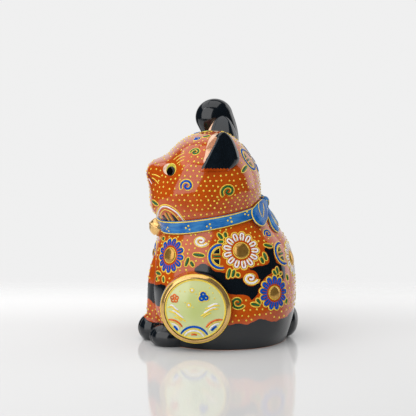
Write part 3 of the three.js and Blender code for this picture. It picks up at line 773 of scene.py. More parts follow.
class Motif:
    """Enamel lines, domes and cells that belong together, in millimetres."""

    def __init__(self):
        self.lines = []
        self.patches = []
        self.hubs = []

    def line(self, colour, found, width, closed=False, **narrowing):
        """Adds a line over points with normals, narrowed at open ends."""
        points, normals = found
        shape = np.ones(len(points)) if closed else taper(len(points), **narrowing)
        self.lines.append((colour, points, normals, shape * width, closed))

    def mirrored(self):
        flip = np.array([-1, 1, 1])
        twin = Motif()
        twin.lines = [(c, p * flip, n * flip, r, k) for c, p, n, r, k in self.lines]
        twin.patches = [(c, [row * flip for row in rows], not turned) for c, rows, turned in self.patches]
        twin.hubs = [(centre * flip, radius) for centre, radius in self.hubs]
        return twin

    def points(self):
        found = [line[1] for line in self.lines]
        found += [row for _, rows, _ in self.patches for row in rows]
        return np.vstack(found)


class Canvas:
    """A carrier's surface on which motifs are drawn."""

    def __init__(self, tree):
        self.tree = tree

    def pixel(self, px, py):
        """Point and normal that a pixel shows, or those of the outline beside it."""
        start = np.array([0, (px - PHOTO_MIDDLE) * PIXEL, 0]) + PICTURE_UP * (PHOTO_FLOOR - py) * PIXEL
        eye = Vector(start + TO_CAMERA * RAY_START)
        hit, normal, _, _ = self.tree.ray_cast(eye, Vector(-TO_CAMERA), 2 * RAY_START)
        if hit is None:
            hit, normal, _, _ = self.tree.find_nearest(Vector(start))
        return np.array(hit), np.array(normal)

    def photo(self, pixels):
        found = [self.pixel(*pixel) for pixel in pixels]
        return np.array([spot for spot, _ in found]), np.array([normal for _, normal in found])

    def photo_disc(self, px, py, half_width, half_height, lean):
        """Carries a unit disc on to the surface as an oval in pixels."""
        c, s = cos(radians(lean)), sin(radians(lean))

        def carry(flat):
            across, up = flat[:, 0] * half_width, flat[:, 1] * half_height
            return self.photo(np.stack([px + across * c + up * s, py + across * s - up * c], -1))

        return carry

    def snap(self, points):
        """Nearest points of the surface, and the normals there."""
        found = [self.tree.find_nearest(Vector(point))[:2] for point in np.atleast_2d(points)]
        return np.array([spot for spot, _ in found]), np.array([normal for _, normal in found])

    def spot(self, point):
        spots, normals = self.snap(point)
        return spots[0], normals[0]

    def spread(self, centre, normal, flat):
        """Carries flat points on to the surface round a centre."""
        up = unit(UPWARDS - normal * normal[2])
        right = np.cross(up, normal)
        flat = np.atleast_2d(flat)
        return self.snap(centre + flat[:, :1] * right + flat[:, 1:] * up)

    def disc(self, spot, radius):
        """Carries a unit disc on to the surface round a spot."""
        return lambda flat: self.spread(*spot, flat * radius)


def taper(count, ends=0.45, share=0.12):
    t = np.linspace(0, 1, count)
    nearest = np.minimum(t, 1 - t) / share
    return ends + (1 - ends) * np.sqrt(np.clip(nearest, 0, 1))


def spokes(angles):
    return np.stack([np.cos(angles), np.sin(angles)], -1)


def circle(radius, start=0.0, end=360.0, count=48, middle=(0, 0)):
    """Flat points round a circle, or an arc between two degrees."""
    turn = np.radians(np.linspace(start, end, count, endpoint=abs(end - start) < 359.9))
    return spokes(turn) * radius + middle


def pipe(motif, canvas, spot, flat, colour, stroke, closed=False):
    motif.line(colour, canvas.spread(*spot, flat), STROKES[stroke], closed)


def drawn(motif, canvas, knots, colour, width):
    count = KNOT_STEPS * (len(knots) - 1) + 1
    motif.line(colour, canvas.photo(flat_spline(knots, np.linspace(0, len(knots) - 1, count))), width)


def dome(motif, colour, carry, rise, flat=0.0, lift=0.0):
    """Rounded patch over a unit disc. Flat is the share of its radius that stays level."""
    rows = []
    for share in DOME_SHARES:
        ring = circle(1.0, count=DOME_SIDES) * share
        spots, normals = carry(ring[:1] if share == 0 else ring)
        edge = max(0, (share - flat) / (1 - flat))
        rows.append(spots + normals * (lift + rise * sqrt(max(0, 1 - edge ** 2)) - DOME_SINK))
    below, normals = carry(np.zeros((1, 2)))
    rows.append(below - normals * DOME_ROOT)
    motif.patches.append((colour, rows, True))


def cell(motif, colour, carry, outline, rise=CELL_RISE):
    """Level patch inside a flat outline."""
    outline = np.asarray(outline, float)
    middle = outline.mean(0)
    rows = []
    for share in CELL_SHARES:
        ring = middle + (outline - middle) * share
        spots, normals = carry(ring[:1] if share == 0 else ring)
        rows.append(spots + normals * (rise if share < 1 else -CELL_SINK))
    spin = np.cross(spots - rows[0], np.roll(spots, -1, axis=0) - rows[0]).sum(0) @ normals.mean(0)
    below, normals = carry(middle[None])
    rows.append(below - normals * CELL_ROOT)
    motif.patches.append((colour, rows, spin > 0))


def spiral(canvas, spot, radius, colour, start, squash=0.9):
    """Scrolling vine end, wound clockwise from start degrees, with a yellow line round it."""
    motif = Motif()
    motif.hubs.append((spot[0], radius * VINE_HUB))

    def wound(way, reach):
        angle = radians(start) - 2 * np.pi * VINE_TURNS * (1 - way)
        return spokes(angle) * (1, squash) * reach[:, None]

    way, outside, inside = (np.linspace(*stretch) for stretch in VINE_STRETCHES)
    pipe(motif, canvas, spot, wound(way, radius * VINE_REACH * way), colour, "vine")
    line = wound(outside, radius * (VINE_REACH * outside + VINE_OUTSIDE))
    back = wound(inside, radius * (VINE_REACH * inside - VINE_INSIDE))
    pipe(motif, canvas, spot, np.vstack([line, back]), "yellow", "vine_outline")
    return motif


def flower(canvas, spot, radius, heart, petals, colour):
    """Daisy of looped petals round a gilt heart, outlined in yellow."""
    motif = Motif()
    motif.hubs.append((spot[0], radius - FLOWER_HUB))
    inner, outer = heart + PETAL_GAP, radius - PETAL_TIP
    half_length = (outer - inner) / 2
    half_width = np.pi * (inner + outer) / 2 / petals * 0.5
    fullness, bulge = PETAL_FULLNESS
    t = np.linspace(-PETAL_LOOP, PETAL_LOOP, PETAL_POINTS)[:, None]
    along = (inner + outer) / 2 + half_length * np.cos(t)
    across = half_width * powered(np.sin(t), fullness) * (1 + bulge * np.cos(t))
    for angle in turns_of(petals):
        out = spokes(angle)
        aside = np.array([-out[1], out[0]])
        pipe(motif, canvas, spot, along * out + across * aside, colour, f"{colour}_petal")
        if colour == "white":
            accent = (inner + ACCENT_START + half_length * np.linspace(0, 1, ACCENT_POINTS)[:, None]) * out
            pipe(motif, canvas, spot, accent, "yellow", "petal_accent")
    t = turns_of(petals * LOBE_POINTS)
    lobe = np.abs(np.cos(t * petals / 2)) ** LOBE_ROUNDNESS
    scallop = (radius - LOBE_DEPTH + LOBE_DEPTH * lobe)[:, None] * spokes(t)
    pipe(motif, canvas, spot, scallop, "yellow", "flower_outline", closed=True)
    pipe(motif, canvas, spot, circle(heart + HEART_GAP), "yellow", "heart_outline", closed=True)
    dome(motif, "gilt", canvas.disc(spot, heart), HEART_RISE, HEART_FLAT)
    return motif


def leaf(canvas, start, end):
    """Green dash between two pixels, with a yellow line round it."""
    motif = Motif()
    (a, normal_a), (b, normal_b) = canvas.pixel(*start), canvas.pixel(*end)
    side = unit(np.cross(unit(normal_a + normal_b), b - a))
    along = unit(b - a)
    width = STROKES["leaf"]
    dash = canvas.snap(a + (b - a) * np.linspace(0, 1, LEAF_POINTS)[:, None])
    motif.line("green", dash, width, ends=LEAF_ENDS, share=LEAF_NARROWING)
    turn = turns_of(LEAF_OUTLINE_POINTS)
    half = np.linalg.norm(b - a) / 2 + width * LEAF_OVERHANG
    lengthways, sideways = np.cos(turn)[:, None] * along * half, np.sin(turn)[:, None] * side
    ring = (a + b) / 2 + lengthways + sideways * width * LEAF_GIRTH
    motif.line("yellow", canvas.snap(ring), STROKES["leaf_outline"], closed=True)
    return motif


def wheel(canvas, spot, radius, start, end):
    """Part of a wheel: a cobalt rim with yellow lines, and dark cells parted by a green bar."""
    motif = Motif()
    motif.hubs.append((spot[0], radius - WHEEL_HUB))
    pipe(motif, canvas, spot, circle(radius + WHEEL_LINE, start, end), "yellow", "wheel_outline")
    pipe(motif, canvas, spot, circle(radius, start, end), "cobalt", "wheel")
    pipe(motif, canvas, spot, circle(radius - WHEEL_LINE, start, end), "yellow", "wheel_outline")
    reach = radius - WHEEL_CELLS
    middle = radians((start + end) / 2)
    spoke = np.array([cos(middle), sin(middle)])
    cross = np.array([-spoke[1], spoke[0]])
    opening = asin(WHEEL_BAR / reach)
    for side in (1, -1):
        angle = np.linspace(middle + side * opening, middle + side * WHEEL_OPENING, WHEEL_POINTS)
        arc = spokes(angle) * reach
        foot = cross * side * WHEEL_BAR + spoke * reach * WHEEL_FOOT
        steps = np.linspace(0, 1, WHEEL_EDGE_POINTS)[1:-1, None]
        outline = np.vstack([arc, arc[-1] + (foot - arc[-1]) * steps, foot, foot + (arc[0] - foot) * steps])
        cell(motif, "coal", canvas.disc(spot, 1), outline)
        pipe(motif, canvas, spot, outline, "yellow", "wheel_cell", closed=True)
    bar = spoke * np.linspace(*WHEEL_BAR_ENDS, WHEEL_POINTS)[:, None] * reach
    pipe(motif, canvas, spot, bar, "green", "wheel_bar")
    return motif


# Properties

def length(name, description, default):
    return FloatProperty(
        name=name, description=description, default=default * MM, min=0.0,
        subtype="DISTANCE", unit="LENGTH")


def factor(name, description, default, least=0.0, most=1.0):
    return FloatProperty(
        name=name, description=description, default=default, min=least, max=most, subtype="FACTOR")


def colour(name, description, default):
    return FloatVectorProperty(
        name=name, description=description, default=default, size=3, min=0.0, max=1.0, subtype="COLOR")


class EnamelSizes(bpy.types.PropertyGroup):
    """Sizes of the piped enamel."""

    bead: length("Bead radius", "Radius of a raised bead", 0.56)
    bead_height: factor("Bead height", "Height of a bead as a share of its radius", 0.55, 0.1)
    bead_gap: length("Bead spacing", "Distance between the beads of a row", 3.2)
    row_gap: length("Row spacing", "Distance between two rows of beads", 2.6)
    line: factor("Line width", "Share of the drawn width that the piped lines get", 1.0, 0.3, 2.0)
    line_sides: IntProperty(
        name="Line sides", description="Faces round a piped line", default=8, min=4, max=16)


class GlazeColours(bpy.types.PropertyGroup):
    """Colours of the glazes, enamels and gilding."""

    persimmon: colour("Persimmon", "Ground glaze", (0.51, 0.078, 0.002))
    persimmon_deep: colour("Deep persimmon", "Ground glaze where it pooled", (0.35, 0.04, 0.001))
    coal: colour("Coal", "Black patches", (0.0025, 0.005, 0.008))
    yellow: colour("Yellow", "Outlines and beads", (0.9, 0.67, 0.075))
    cobalt: colour("Cobalt", "Blue enamel", (0.001, 0.09, 0.5))
    white: colour("White", "White enamel", (0.82, 0.8, 0.82))
    green: colour("Green", "Leaf enamel", (0.012, 0.135, 0.03))
    orange: colour("Orange", "Orange enamel on the medallions", (0.8, 0.16, 0.02))
    ribbon: colour("Ribbon", "Collar and bow", (0.001, 0.09, 0.36))
    ribbon_pale: colour("Pale ribbon", "Thin brush strokes of the collar and bow", (0.07, 0.27, 0.54))
    celadon: colour("Celadon", "Ground of the medallions", (0.49, 0.56, 0.19))
    celadon_pale: colour("Pale celadon", "Edge of the medallions", (0.6, 0.64, 0.3))
    gilt: colour("Gilt", "Flower hearts", (0.6, 0.34, 0.08))
    polish: colour("Burnished gilt", "Rims and bell", (0.86, 0.54, 0.2))
    peach: colour("Peach", "Inside of the ears", (0.84, 0.52, 0.34))
    blush: colour("Blush", "White of the eyes", (0.82, 0.58, 0.44))
    olive: colour("Olive", "Iris", (0.52, 0.47, 0.05))
    pupil: colour("Pupil", "Pupil", (0.001, 0.001, 0.001))
    brown: colour("Brown", "Nose and mouth", (0.16, 0.022, 0.004))
    clay: colour("Clay", "Bare foot ring", (0.36, 0.14, 0.07))


class StudioSettings(bpy.types.PropertyGroup):
    """Floor, backdrop and light."""

    floor: colour("Floor", "Colour of the floor", (0.758, 0.758, 0.758))
    backdrop: factor("Backdrop", "Brightness of the background, where 1 is white", 0.87)
    ambient: factor("Ambient", "Light from all round", 0.5, 0.0, 2.0)
    lens: FloatProperty(
        name="Lens", description="Focal length", default=400.0, min=50.0, subtype="DISTANCE_CAMERA")


# Materials

class Socket:
    """A value in a tree of nodes, with arithmetic that adds Math nodes."""

    def __init__(self, nodes, socket):
        self.nodes = nodes
        self.socket = socket

    def combined(self, operation, *values):
        return self.nodes.node("ShaderNodeMath", {"operation": operation}, dict(enumerate(values)))

    def __add__(self, other):
        return self.combined("ADD", self, other)

    def __sub__(self, other):
        return self.combined("SUBTRACT", self, other)

    def __rsub__(self, other):
        return self.combined("SUBTRACT", other, self)

    def __mul__(self, other):
        return self.combined("MULTIPLY", self, other)

    __radd__ = __add__
    __rmul__ = __mul__

    def step(self, low, high, least=0.0, most=1.0):
        """Least below low, most above high, and smooth between."""
        return self.nodes.node(
            "ShaderNodeMapRange", {"interpolation_type": "SMOOTHSTEP", "clamp": True},
            {"Value": self, "From Min": low, "From Max": high, "To Min": least, "To Max": most})


class Nodes:
    """Adds nodes to a tree of any kind."""

    def __init__(self, tree):
        self.tree = tree

    def node(self, kind, settings=None, values=None, output=0):
        """New node with its settings and inputs, as the socket of one output."""
        made = self.tree.nodes.new(kind)
        for key, value in (settings or {}).items():
            setattr(made, key, value)
        for key, value in (values or {}).items():
            self.feed(made.inputs[key], value)
        return Socket(self, made.outputs[output])

    def feed(self, socket, value):
        """Links an input, or sets it to a plain value."""
        if isinstance(value, Socket):
            self.tree.links.new(value.socket, socket)
        elif socket.type == "RGBA" and len(value) == 3:
            socket.default_value = (*value, 1)
        else:
            socket.default_value = value


class Painter(Nodes):
    """Builds one procedural material."""

    def __init__(self, name):
        self.material = bpy.data.materials.new(name)
        self.material.use_nodes = True
        super().__init__(self.material.node_tree)
        self.shader = self.tree.nodes["Principled BSDF"]

    def place(self):
        return self.node("ShaderNodeTexCoord", output="Object")

    def stretched(self, where, scale):
        return self.node("ShaderNodeMapping", {}, {"Vector": where, "Scale": scale})

    def value(self, name):
        return self.node("ShaderNodeAttribute", {"attribute_name": name}, output="Fac")

    def noise(self, scale, detail=3.0, where=None, roughness=0.5):
        return self.node("ShaderNodeTexNoise", {}, {
            "Vector": where or self.place(), "Scale": scale, "Detail": detail, "Roughness": roughness})

    def mix(self, share, one, other):
        return self.node("ShaderNodeMix", {"data_type": "RGBA"}, {0: share, 6: one, 7: other}, 2)

    def bump(self, height, distance, strength):
        """Normal for a relief in millimetres."""
        return self.node("ShaderNodeBump", {}, {
            "Height": height, "Distance": distance * MM, "Strength": strength})

    def finish(self, **inputs):
        for key, value in inputs.items():
            self.feed(self.shader.inputs[key.replace("_", " ")], value)
        return self.material


def shaded(tone, *shares):
    """Colour with its channels multiplied by one share or by three."""
    return tuple(channel * share for channel, share in zip(tone, shares * (3 // len(shares))))


def ground_glaze(colours, name, clay=False):
    """Persimmon ground with coal patches, from the points' own coal distance."""
    paint = Painter(name)
    pooled = paint.noise(70, 4).step(0.35, 0.72)
    speck = paint.noise(900, 2).step(0.3, 0.75)
    persimmon = paint.mix(pooled * 0.55 + speck * 0.2, colours.persimmon, colours.persimmon_deep)
    wobble = (paint.noise(420, 2) - 0.5) * 1.1
    mask = (paint.value("coal") + wobble).step(-0.12, 0.12)
    tone = paint.mix(mask, persimmon, colours.coal)
    rough = 0.09 + paint.noise(240, 2) * 0.06
    coat = 0.35
    if clay:
        tone = paint.mix(paint.value("hollow").step(-0.15, 0.15), tone, colours.peach)
        bare = paint.value("bare").step(0.4, 0.6)
        tone = paint.mix(bare, tone, colours.clay)
        rough = rough + bare * 0.5
        coat = coat - coat * bare
    waver = paint.noise(95, 2) * 0.8 + paint.noise(420, 2) * 0.2
    return paint.finish(
        Base_Color=tone, Roughness=rough, Coat_Weight=coat, Coat_Roughness=0.03, IOR=1.5,
        Normal=paint.bump(waver, 0.35, 0.35))


def enamel(name, tone, depth_share, gloss, shine):
    """Thick raised enamel with uneven depth of colour."""
    paint = Painter(name)
    depth = paint.noise(520, 3).step(0.3, 0.75)
    rough = gloss + paint.noise(900, 2) * 0.1
    return paint.finish(
        Base_Color=paint.mix(depth, tone, shaded(tone, depth_share)), Roughness=rough,
        Coat_Weight=shine / 3, Coat_Roughness=0.05, Specular_IOR_Level=shine,
        Normal=paint.bump(paint.noise(1500, 2), 0.08, 0.4))


def brushed_ribbon(colours):
    """Blue enamel in long brush strokes along the piece's UV map."""
    paint = Painter("ribbon_enamel")
    way = paint.stretched(paint.node("ShaderNodeUVMap", {"uv_map": "way"}), (6.0, 8.0, 1.0))
    stroke = paint.noise(1, 3, way, 0.55).step(0.4, 0.7)
    pool = paint.noise(120, 2).step(0.35, 0.65)
    tone = paint.mix(stroke * 0.5 + pool * 0.4, colours.ribbon, colours.ribbon_pale)
    return paint.finish(
        Base_Color=tone, Roughness=0.12 + stroke * 0.08, Specular_IOR_Level=0.18,
        Normal=paint.bump(stroke, 0.1, 0.2))


def gilding(name, tone, metal, rough, brushed=False):
    """Fired gold that thins to brown in places, or shows its brush strokes."""
    paint = Painter(name)
    worn = paint.noise(130, 2).step(0.4, 0.75) * 0.45
    if brushed:
        upright = paint.stretched(paint.place(), (1.0, 1.0, 0.16))
        worn = worn + paint.noise(1100, 2, upright).step(0.35, 0.7) * 0.4
    return paint.finish(
        Base_Color=paint.mix(worn, tone, shaded(tone, 0.62, 0.52, 0.4)), Metallic=metal,
        Roughness=rough + paint.noise(120, 2) * 0.08)


def celadon_glaze(colours):
    """Pale green ground, deeper towards the middle."""
    paint = Painter("celadon_glaze")
    cloud = paint.noise(110, 3)
    share = (paint.value("middle") + (cloud - 0.5) * 0.7).step(0.1, 0.95)
    tone = paint.mix(share, colours.celadon_pale, colours.celadon)
    return paint.finish(
        Base_Color=tone, Roughness=0.1 + cloud * 0.06, Coat_Weight=0.4, Coat_Roughness=0.03,
        Normal=paint.bump(paint.noise(150, 2), 0.3, 0.3))


def ear_glaze(colours):
    """Coal outside, peach in the scoop and persimmon at the foot."""
    paint = Painter("ear_glaze")
    wobble = (paint.noise(500, 2) - 0.5) * 0.5
    scoop = (paint.value("scoop") + wobble).step(-0.1, 0.1)
    blush = paint.noise(200, 3).step(0.3, 0.8)
    peach = paint.mix(blush * 0.6, colours.peach, shaded(colours.peach, 0.72))
    coal = paint.mix(blush, colours.coal, shaded(colours.coal, 1.8))
    persimmon = paint.mix(blush, colours.persimmon, colours.persimmon_deep)
    ground = paint.value("ground").step(-0.08, 0.08)
    return paint.finish(
        Base_Color=paint.mix(ground, paint.mix(scoop, coal, peach), persimmon),
        Roughness=0.08 + blush * 0.05, Coat_Weight=0.35, Coat_Roughness=0.03,
        Normal=paint.bump(paint.noise(110, 2), 0.35, 0.35))


# What the operators share while the cat is built
MATERIALS = {}
PIECES = {}
TREES = {}
MOTIFS = []


def material(name):
    """The named finish, made when it is first asked for."""
    if name not in MATERIALS:
        colours = bpy.context.scene.cat_colours
        makers = {
            "ground": lambda: ground_glaze(colours, "ground_glaze"),
            "casting": lambda: ground_glaze(colours, "casting_glaze", clay=True),
            "ribbon": lambda: brushed_ribbon(colours),
            "gilt": lambda: gilding("brushed_gilt", colours.gilt, 0.72, 0.16, brushed=True),
            "polish": lambda: gilding("burnished_gilt", colours.polish, 0.8, 0.1),
            "celadon": lambda: celadon_glaze(colours),
            "ear": lambda: ear_glaze(colours),
        }
        if name in makers:
            MATERIALS[name] = makers[name]()
        else:
            look = [kind.get(name, kind["usual"]) for kind in (ENAMEL_DEPTH, ENAMEL_GLOSS, ENAMEL_SHINE)]
            MATERIALS[name] = enamel(f"{name}_enamel", getattr(colours, name), *look)
    return MATERIALS[name]


def settle(made, finish, node=None):
    """Gives a piece its material and body, and the node that it stands for."""
    made.data.materials.clear()
    made.data.materials.append(material(finish))
    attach(made, "root")
    if node:
        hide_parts(node)
        PIECES[node] = made


def photo_pixels(points):
    """Pixels where points show, with the hidden side folded over."""
    points = np.asarray(points, float)
    rise = points[:, 2] * cos(ELEVATION) - np.abs(points[:, 0]) * sin(ELEVATION)
    return np.stack([PHOTO_MIDDLE + points[:, 1] / PIXEL, PHOTO_FLOOR - rise / PIXEL], -1)


def depth_in_outline(spots, knots):
    """How far inside a smooth closed outline spots lie. Outside is negative."""
    knots = [*knots, *knots[:3]]
    outline = flat_spline(knots, np.arange(1, len(knots) - 2 + 1e-9, OUTLINE_STEP))[:-1]
    away = np.full(len(spots), np.inf)
    inside = np.zeros(len(spots), bool)
    for start, end in zip(outline, np.roll(outline, -1, axis=0)):
        run = end - start
        share = np.clip((spots - start) @ run / (run @ run), 0, 1)
        away = np.minimum(away, np.linalg.norm(spots - start - share[:, None] * run, axis=1))
        crossed = (start[1] > spots[:, 1]) != (end[1] > spots[:, 1])
        lean = run[0] / run[1] if run[1] else 0
        inside ^= crossed & (spots[:, 0] < start[0] + (spots[:, 1] - start[1]) * lean)
    return np.where(inside, away, -away)


def ear_hollow(points):
    """How far inside the peach in front of an ear points lie."""
    return depth_in_outline(photo_pixels(points), EAR_HOLLOW) * PIXEL


def coal_distance(points):
    """How far inside a coal patch points lie, in millimetres. Outside is negative."""
    spots = photo_pixels(points)
    patches = (COAL_SADDLE, COAL_KNEE, COAL_FOOT)
    return np.max([depth_in_outline(spots, patch) for patch in patches], axis=0) * PIXEL


def coal_beside_motifs(points):
    """The coal distance, cut back to stay clear of the ornament."""
    gap = np.array([TREES["motif_points"].find(Vector(p))[2] for p in points])
    depth = np.minimum(coal_distance(points), gap - MOTIF_MARGIN)
    for centre, radius in [hub for motif in MOTIFS for hub in motif.hubs]:
        depth = np.minimum(depth, np.linalg.norm(points - centre, axis=1) - radius)
    return depth


# Operators

class CatOperator(bpy.types.Operator):
    """Base of the cat's operators."""

    bl_options = {"REGISTER", "UNDO"}


def cast_body(outside):
    """Torso with its neck rim, inside, floor, drain hole and foot ring."""
    floor_top = FOOT_RECESS + FLOOR_THICKNESS
    outside[0] = levelled(outside[0], 0)
    outside[-1] = outside[-1] - (0, 0, SEAM / 2)
    inside = inside_rows(NECK, 1)
    inside[0][:, 2] = outside[-1][:, 2]
    floor_edge = skin_out(place_at(floor_top), AROUND, -WALL)
    foot_inside = skin_out(0.0, AROUND, -FOOT_RING_WIDTH)
    turn = np.interp(AROUND, WAY, TURN)
    drain = np.stack([np.cos(turn), np.sin(turn), 0 * turn], -1) * DRAIN_RADIUS
    under = [
        levelled(floor_edge, floor_top), levelled(drain, floor_top),
        levelled(drain, FOOT_RECESS), levelled(foot_inside, FOOT_RECESS),
        levelled(foot_inside, 0),
    ]
    glazed = slice(COLUMNS, len(outside) * COLUMNS)
    made = cast_shell("body_casting", "body_shell", [*outside, *inside, *under], glazed)
    set_values(made, "hollow", -1.0)


def cast_head(outside):
    outside[0] = outside[0] + (0, 0, SEAM / 2)
    inside = inside_rows(LAST - 1, NECK)
    inside[-1][:, 2] = outside[0][:, 2]
    glazed = slice(len(outside) * COLUMNS + 1)
    cast_shell("head_casting", "head_shell", [*outside, crown(), crown(WALL), *inside], glazed)


def levelled(ring, height):
    return ring * (1, 1, 0) + (0, 0, height)


def inside_rows(first, last):
    places = np.linspace(first, last, abs(first - last) * INSIDE_ROWS + 1)
    return [skin_out(p, AROUND, -WALL) for p in places]


def cast_shell(name, node, rows, glazed):
    """Casting over rows that close, bare where it is not glazed."""
    made = mesh_object(name, *faces_over(rows, loop=True))
    made.data.set_sharp_from_angle(angle=CASTING_CREASE)
    bare = np.ones(len(made.data.vertices))
    bare[glazed] = 0
    set_values(made, "bare", bare)
    settle(made, "casting", node)
    return made


class CAT_OT_castings(CatOperator):
    """Cast the hollow body and head with their foot ring and drain"""

    bl_idname = "cat.castings"
    bl_label = "Castings"

    def execute(self, context):
        body_places = np.linspace(0, NECK, NECK * ROWS_PER_STATION + 1)
        head_places = np.linspace(NECK, LAST, (LAST - NECK) * ROWS_PER_STATION + 1)[:-1]
        body_rows = [skin(p, AROUND) for p in body_places]
        head_rows = [skin(p, AROUND) for p in head_places]
        TREES["skin"] = tree_of(*faces_over([*body_rows, *head_rows[1:], crown()]))
        cast_body(body_rows)
        cast_head(head_rows)
        return {"FINISHED"}


def ear_ring(side, share, turns, inset, outer_inset, ahead):
    c, s = cos(side * EAR_ANGLE), sin(side * EAR_ANGLE)
    root = EAR_ROOT * (side, 1, 1) + (ahead * s, -ahead * c, 0)
    tip = EAR_TIP * (side, 1, 1) + (ahead * s, -ahead * c, -inset)
    in_front = np.sin(turns) < 0
    power = np.where(in_front, 2 / EAR_SQUARENESS[0], 2 / EAR_SQUARENESS[1])
    outward = (1 + side * np.cos(turns)) / 2
    width, back, outer, inner = (
        (reach - np.where(outward > 0.5, outer_inset, inset)) * (1 - share) ** taper_power
        for reach, taper_power in (EAR_HALF_WIDTH, EAR_BACK, EAR_FRONT_OUTER, EAR_FRONT_INNER)
    )
    nape, start, abruptness = EAR_NAPE
    swell = 1 - exp(-((share + start) / nape) ** abruptness)
    depth = np.where(in_front, inner + (outer - inner) * outward, back * swell)
    across, deep = width * powered(np.cos(turns), power), depth * powered(np.sin(turns), power)
    ring = np.stack([across * c - deep * s, across * s + deep * c, 0 * across], -1)
    return ring + root + (tip - root) * share


def ear_cone(side, inset=0, outer_inset=0, ahead=0):
    """Points and faces of the ear, or with insets of its scoop."""
    turns = turns_of(LIMB_SIDES)
    shares = np.sin(np.linspace(0, np.pi / 2, EAR_ROWS))[:-1]
    rows = [ear_ring(side, s, turns, inset, outer_inset, ahead) for s in (0.0, *shares, 1.0)]
    rows[0], rows[-1] = rows[0].mean(0)[None], rows[-1].mean(0)[None]
    return faces_over(rows)


def depth_in_scoop(points, side):
    wall = tree_of(*ear_cone(side, *EAR_SCOOP))
    depth = []
    for point in points:
        hit, normal, _, away = wall.find_nearest(Vector(point))
        depth.append((hit - Vector(point)).dot(normal) if away < EAR_NEAR else -EAR_NEAR)
    return np.array(depth)


class CAT_OT_ears(CatOperator):
    """Model the two ears, scooped in front and swelling behind"""

    bl_idname = "cat.ears"
    bl_label = "Ears"

    def execute(self, context):
        foot_level = (PHOTO_FLOOR - EAR_FOOT) * PIXEL
        for name, side in SIDES:
            made = mesh_object(name, *ear_cone(side))
            trim(made, mesh_object("scoop", *ear_cone(side, *EAR_SCOOP)))
            melt(made, *EAR_SOFTENING)
            below = block_below(foot_level, TO_CAMERA * (1, 1, side), PICTURE_UP * (side, 1, 1))
            trim(made, skin_core(), below)
            made.name = f"{name}_ear_dressed"
            points = coordinates(made)
            middle = np.interp(points[:, 2], (EAR_ROOT[2], EAR_TIP[2]), (EAR_ROOT[0], EAR_TIP[0]))
            spread = np.where(np.abs(points[:, 0]) < middle, *EAR_SCOOP_PAINT)
            set_values(made, "scoop", depth_in_scoop(points, side) + spread)
            px, py = photo_pixels(points).T
            set_values(made, "ground", (py - EAR_PAINT_EDGE - jagged(px, EAR_JAGS)) * PIXEL)
            settle(made, "ear", f"{name}_ear")
        head = PIECES["head_shell"]
        set_values(head, "hollow", ear_hollow(coordinates(head)))
        return {"FINISHED"}


def paw_shape(centre, size):
    rows = []
    for row in ellipsoid_rows(centre, size):
        away = row - centre
        ahead = np.clip(-away[:, 1] / TOE_REACH, 0, 1) ** TOE_FADE
        groove = sum(np.exp(-((away[:, 0] - x) / TOE_GROOVE_WIDTH) ** 2) for x in TOE_GROOVES)
        rows.append(row + (TOE_GROOVE_DEPTH * groove * ahead)[:, None] * BACKWARDS)
    return faces_over(rows)


def lute(made, node, slot, *tools):
    """Trims a limb to where it is luted on, and settles it."""
    trim(made, *tools)
    settle(made, "ground", node)


class CAT_OT_limbs(CatOperator):
    """Roll the raised arm, the standing foreleg, the hind feet and the tail"""

    bl_idname = "cat.limbs"
    bl_label = "Limbs"

    def execute(self, context):
        arm = mesh_object("raised_arm", *faces_over(limb_rows(ARM, PAW_DOME)))
        lute(arm, "raised_right_arm", "black_enamel", skin_core())
        paw = paw_shape(FOREPAW_CENTRE, FOREPAW_SIZE)
        leg = mesh_object("standing_foreleg", *joined([faces_over(limb_rows(FORELEG, SEAM)), paw]))
        melt(leg, *FORELEG_SOFTENING)
        lute(leg, "left_foreleg", "persimmon_enamel", skin_core(), block_below(0))
        for name, side in SIDES:
            paw = paw_shape(np.array(HIND_FOOT_CENTRE) * (side, 1, 1), HIND_FOOT_SIZE)
            foot = mesh_object(f"{name}_hind_paw", *paw)
            lute(foot, f"{name}_hind_foot", "black_enamel", skin_core(), block_below(0))
        tail = mesh_object("bob_tail", *faces_over(limb_rows(TAIL, TAIL_DOME)))
        lute(tail, "tail", "black_enamel", skin_core(), block_below(0))
        return {"FINISHED"}


class CAT_OT_haunches(CatOperator):
    """Swell the two thighs that carry the medallions"""

    bl_idname = "cat.haunches"
    bl_label = "Haunches"

    def execute(self, context):
        seat = RIM_RADIUS + SEAM
        top = asin(HAUNCH_MIDDLE / HAUNCH_HALF_DEPTH)
        widest = seat / cos(top)
        swell = [
            (max(0.0, widest * cos(t)), HAUNCH_HALF_DEPTH * sin(t) - HAUNCH_MIDDLE)
            for t in np.linspace(-pi / 2, top, HAUNCH_STEPS)
        ]
        profile = [(0, swell[0][1]), *swell[1:], (seat * HAUNCH_FACE, 0), (0, 0)]
        for name, side in SIDES:
            made = mesh_object(f"{name}_thigh", *faces_over(turned_rows(profile, side)))
            trim(made, skin_core(), block_below(0))
            settle(made, "ground", f"{name}_haunch")
        return {"FINISHED"}


def turn_rim(name, side, profile):
    rim = mesh_object(f"{name}_gilt_rim", *faces_over(turned_rows(profile, side), loop=True))
    settle(rim, "polish", f"{name}_medallion_rim")
    edge = turned_rows([(RIM_RADIUS, RIM_LINE_LIFT)], side)[0]
    out = np.tile(haunch_frame(side)[3], (DISC_SEGMENTS, 1))
    motif = Motif()
    motif.line("yellow", (edge, out), STROKES["rim"], closed=True)
    MOTIFS.append(motif)


def turn_panel(name, side, profile):
    panel = mesh_object(f"{name}_panel_ground", *faces_over(turned_rows(profile, side)))
    away = np.linalg.norm(coordinates(panel) - haunch_frame(side)[0], axis=1)
    set_values(panel, "middle", 1 - away / PANEL_RADIUS)
    settle(panel, "celadon", f"{name}_medallion_panel")


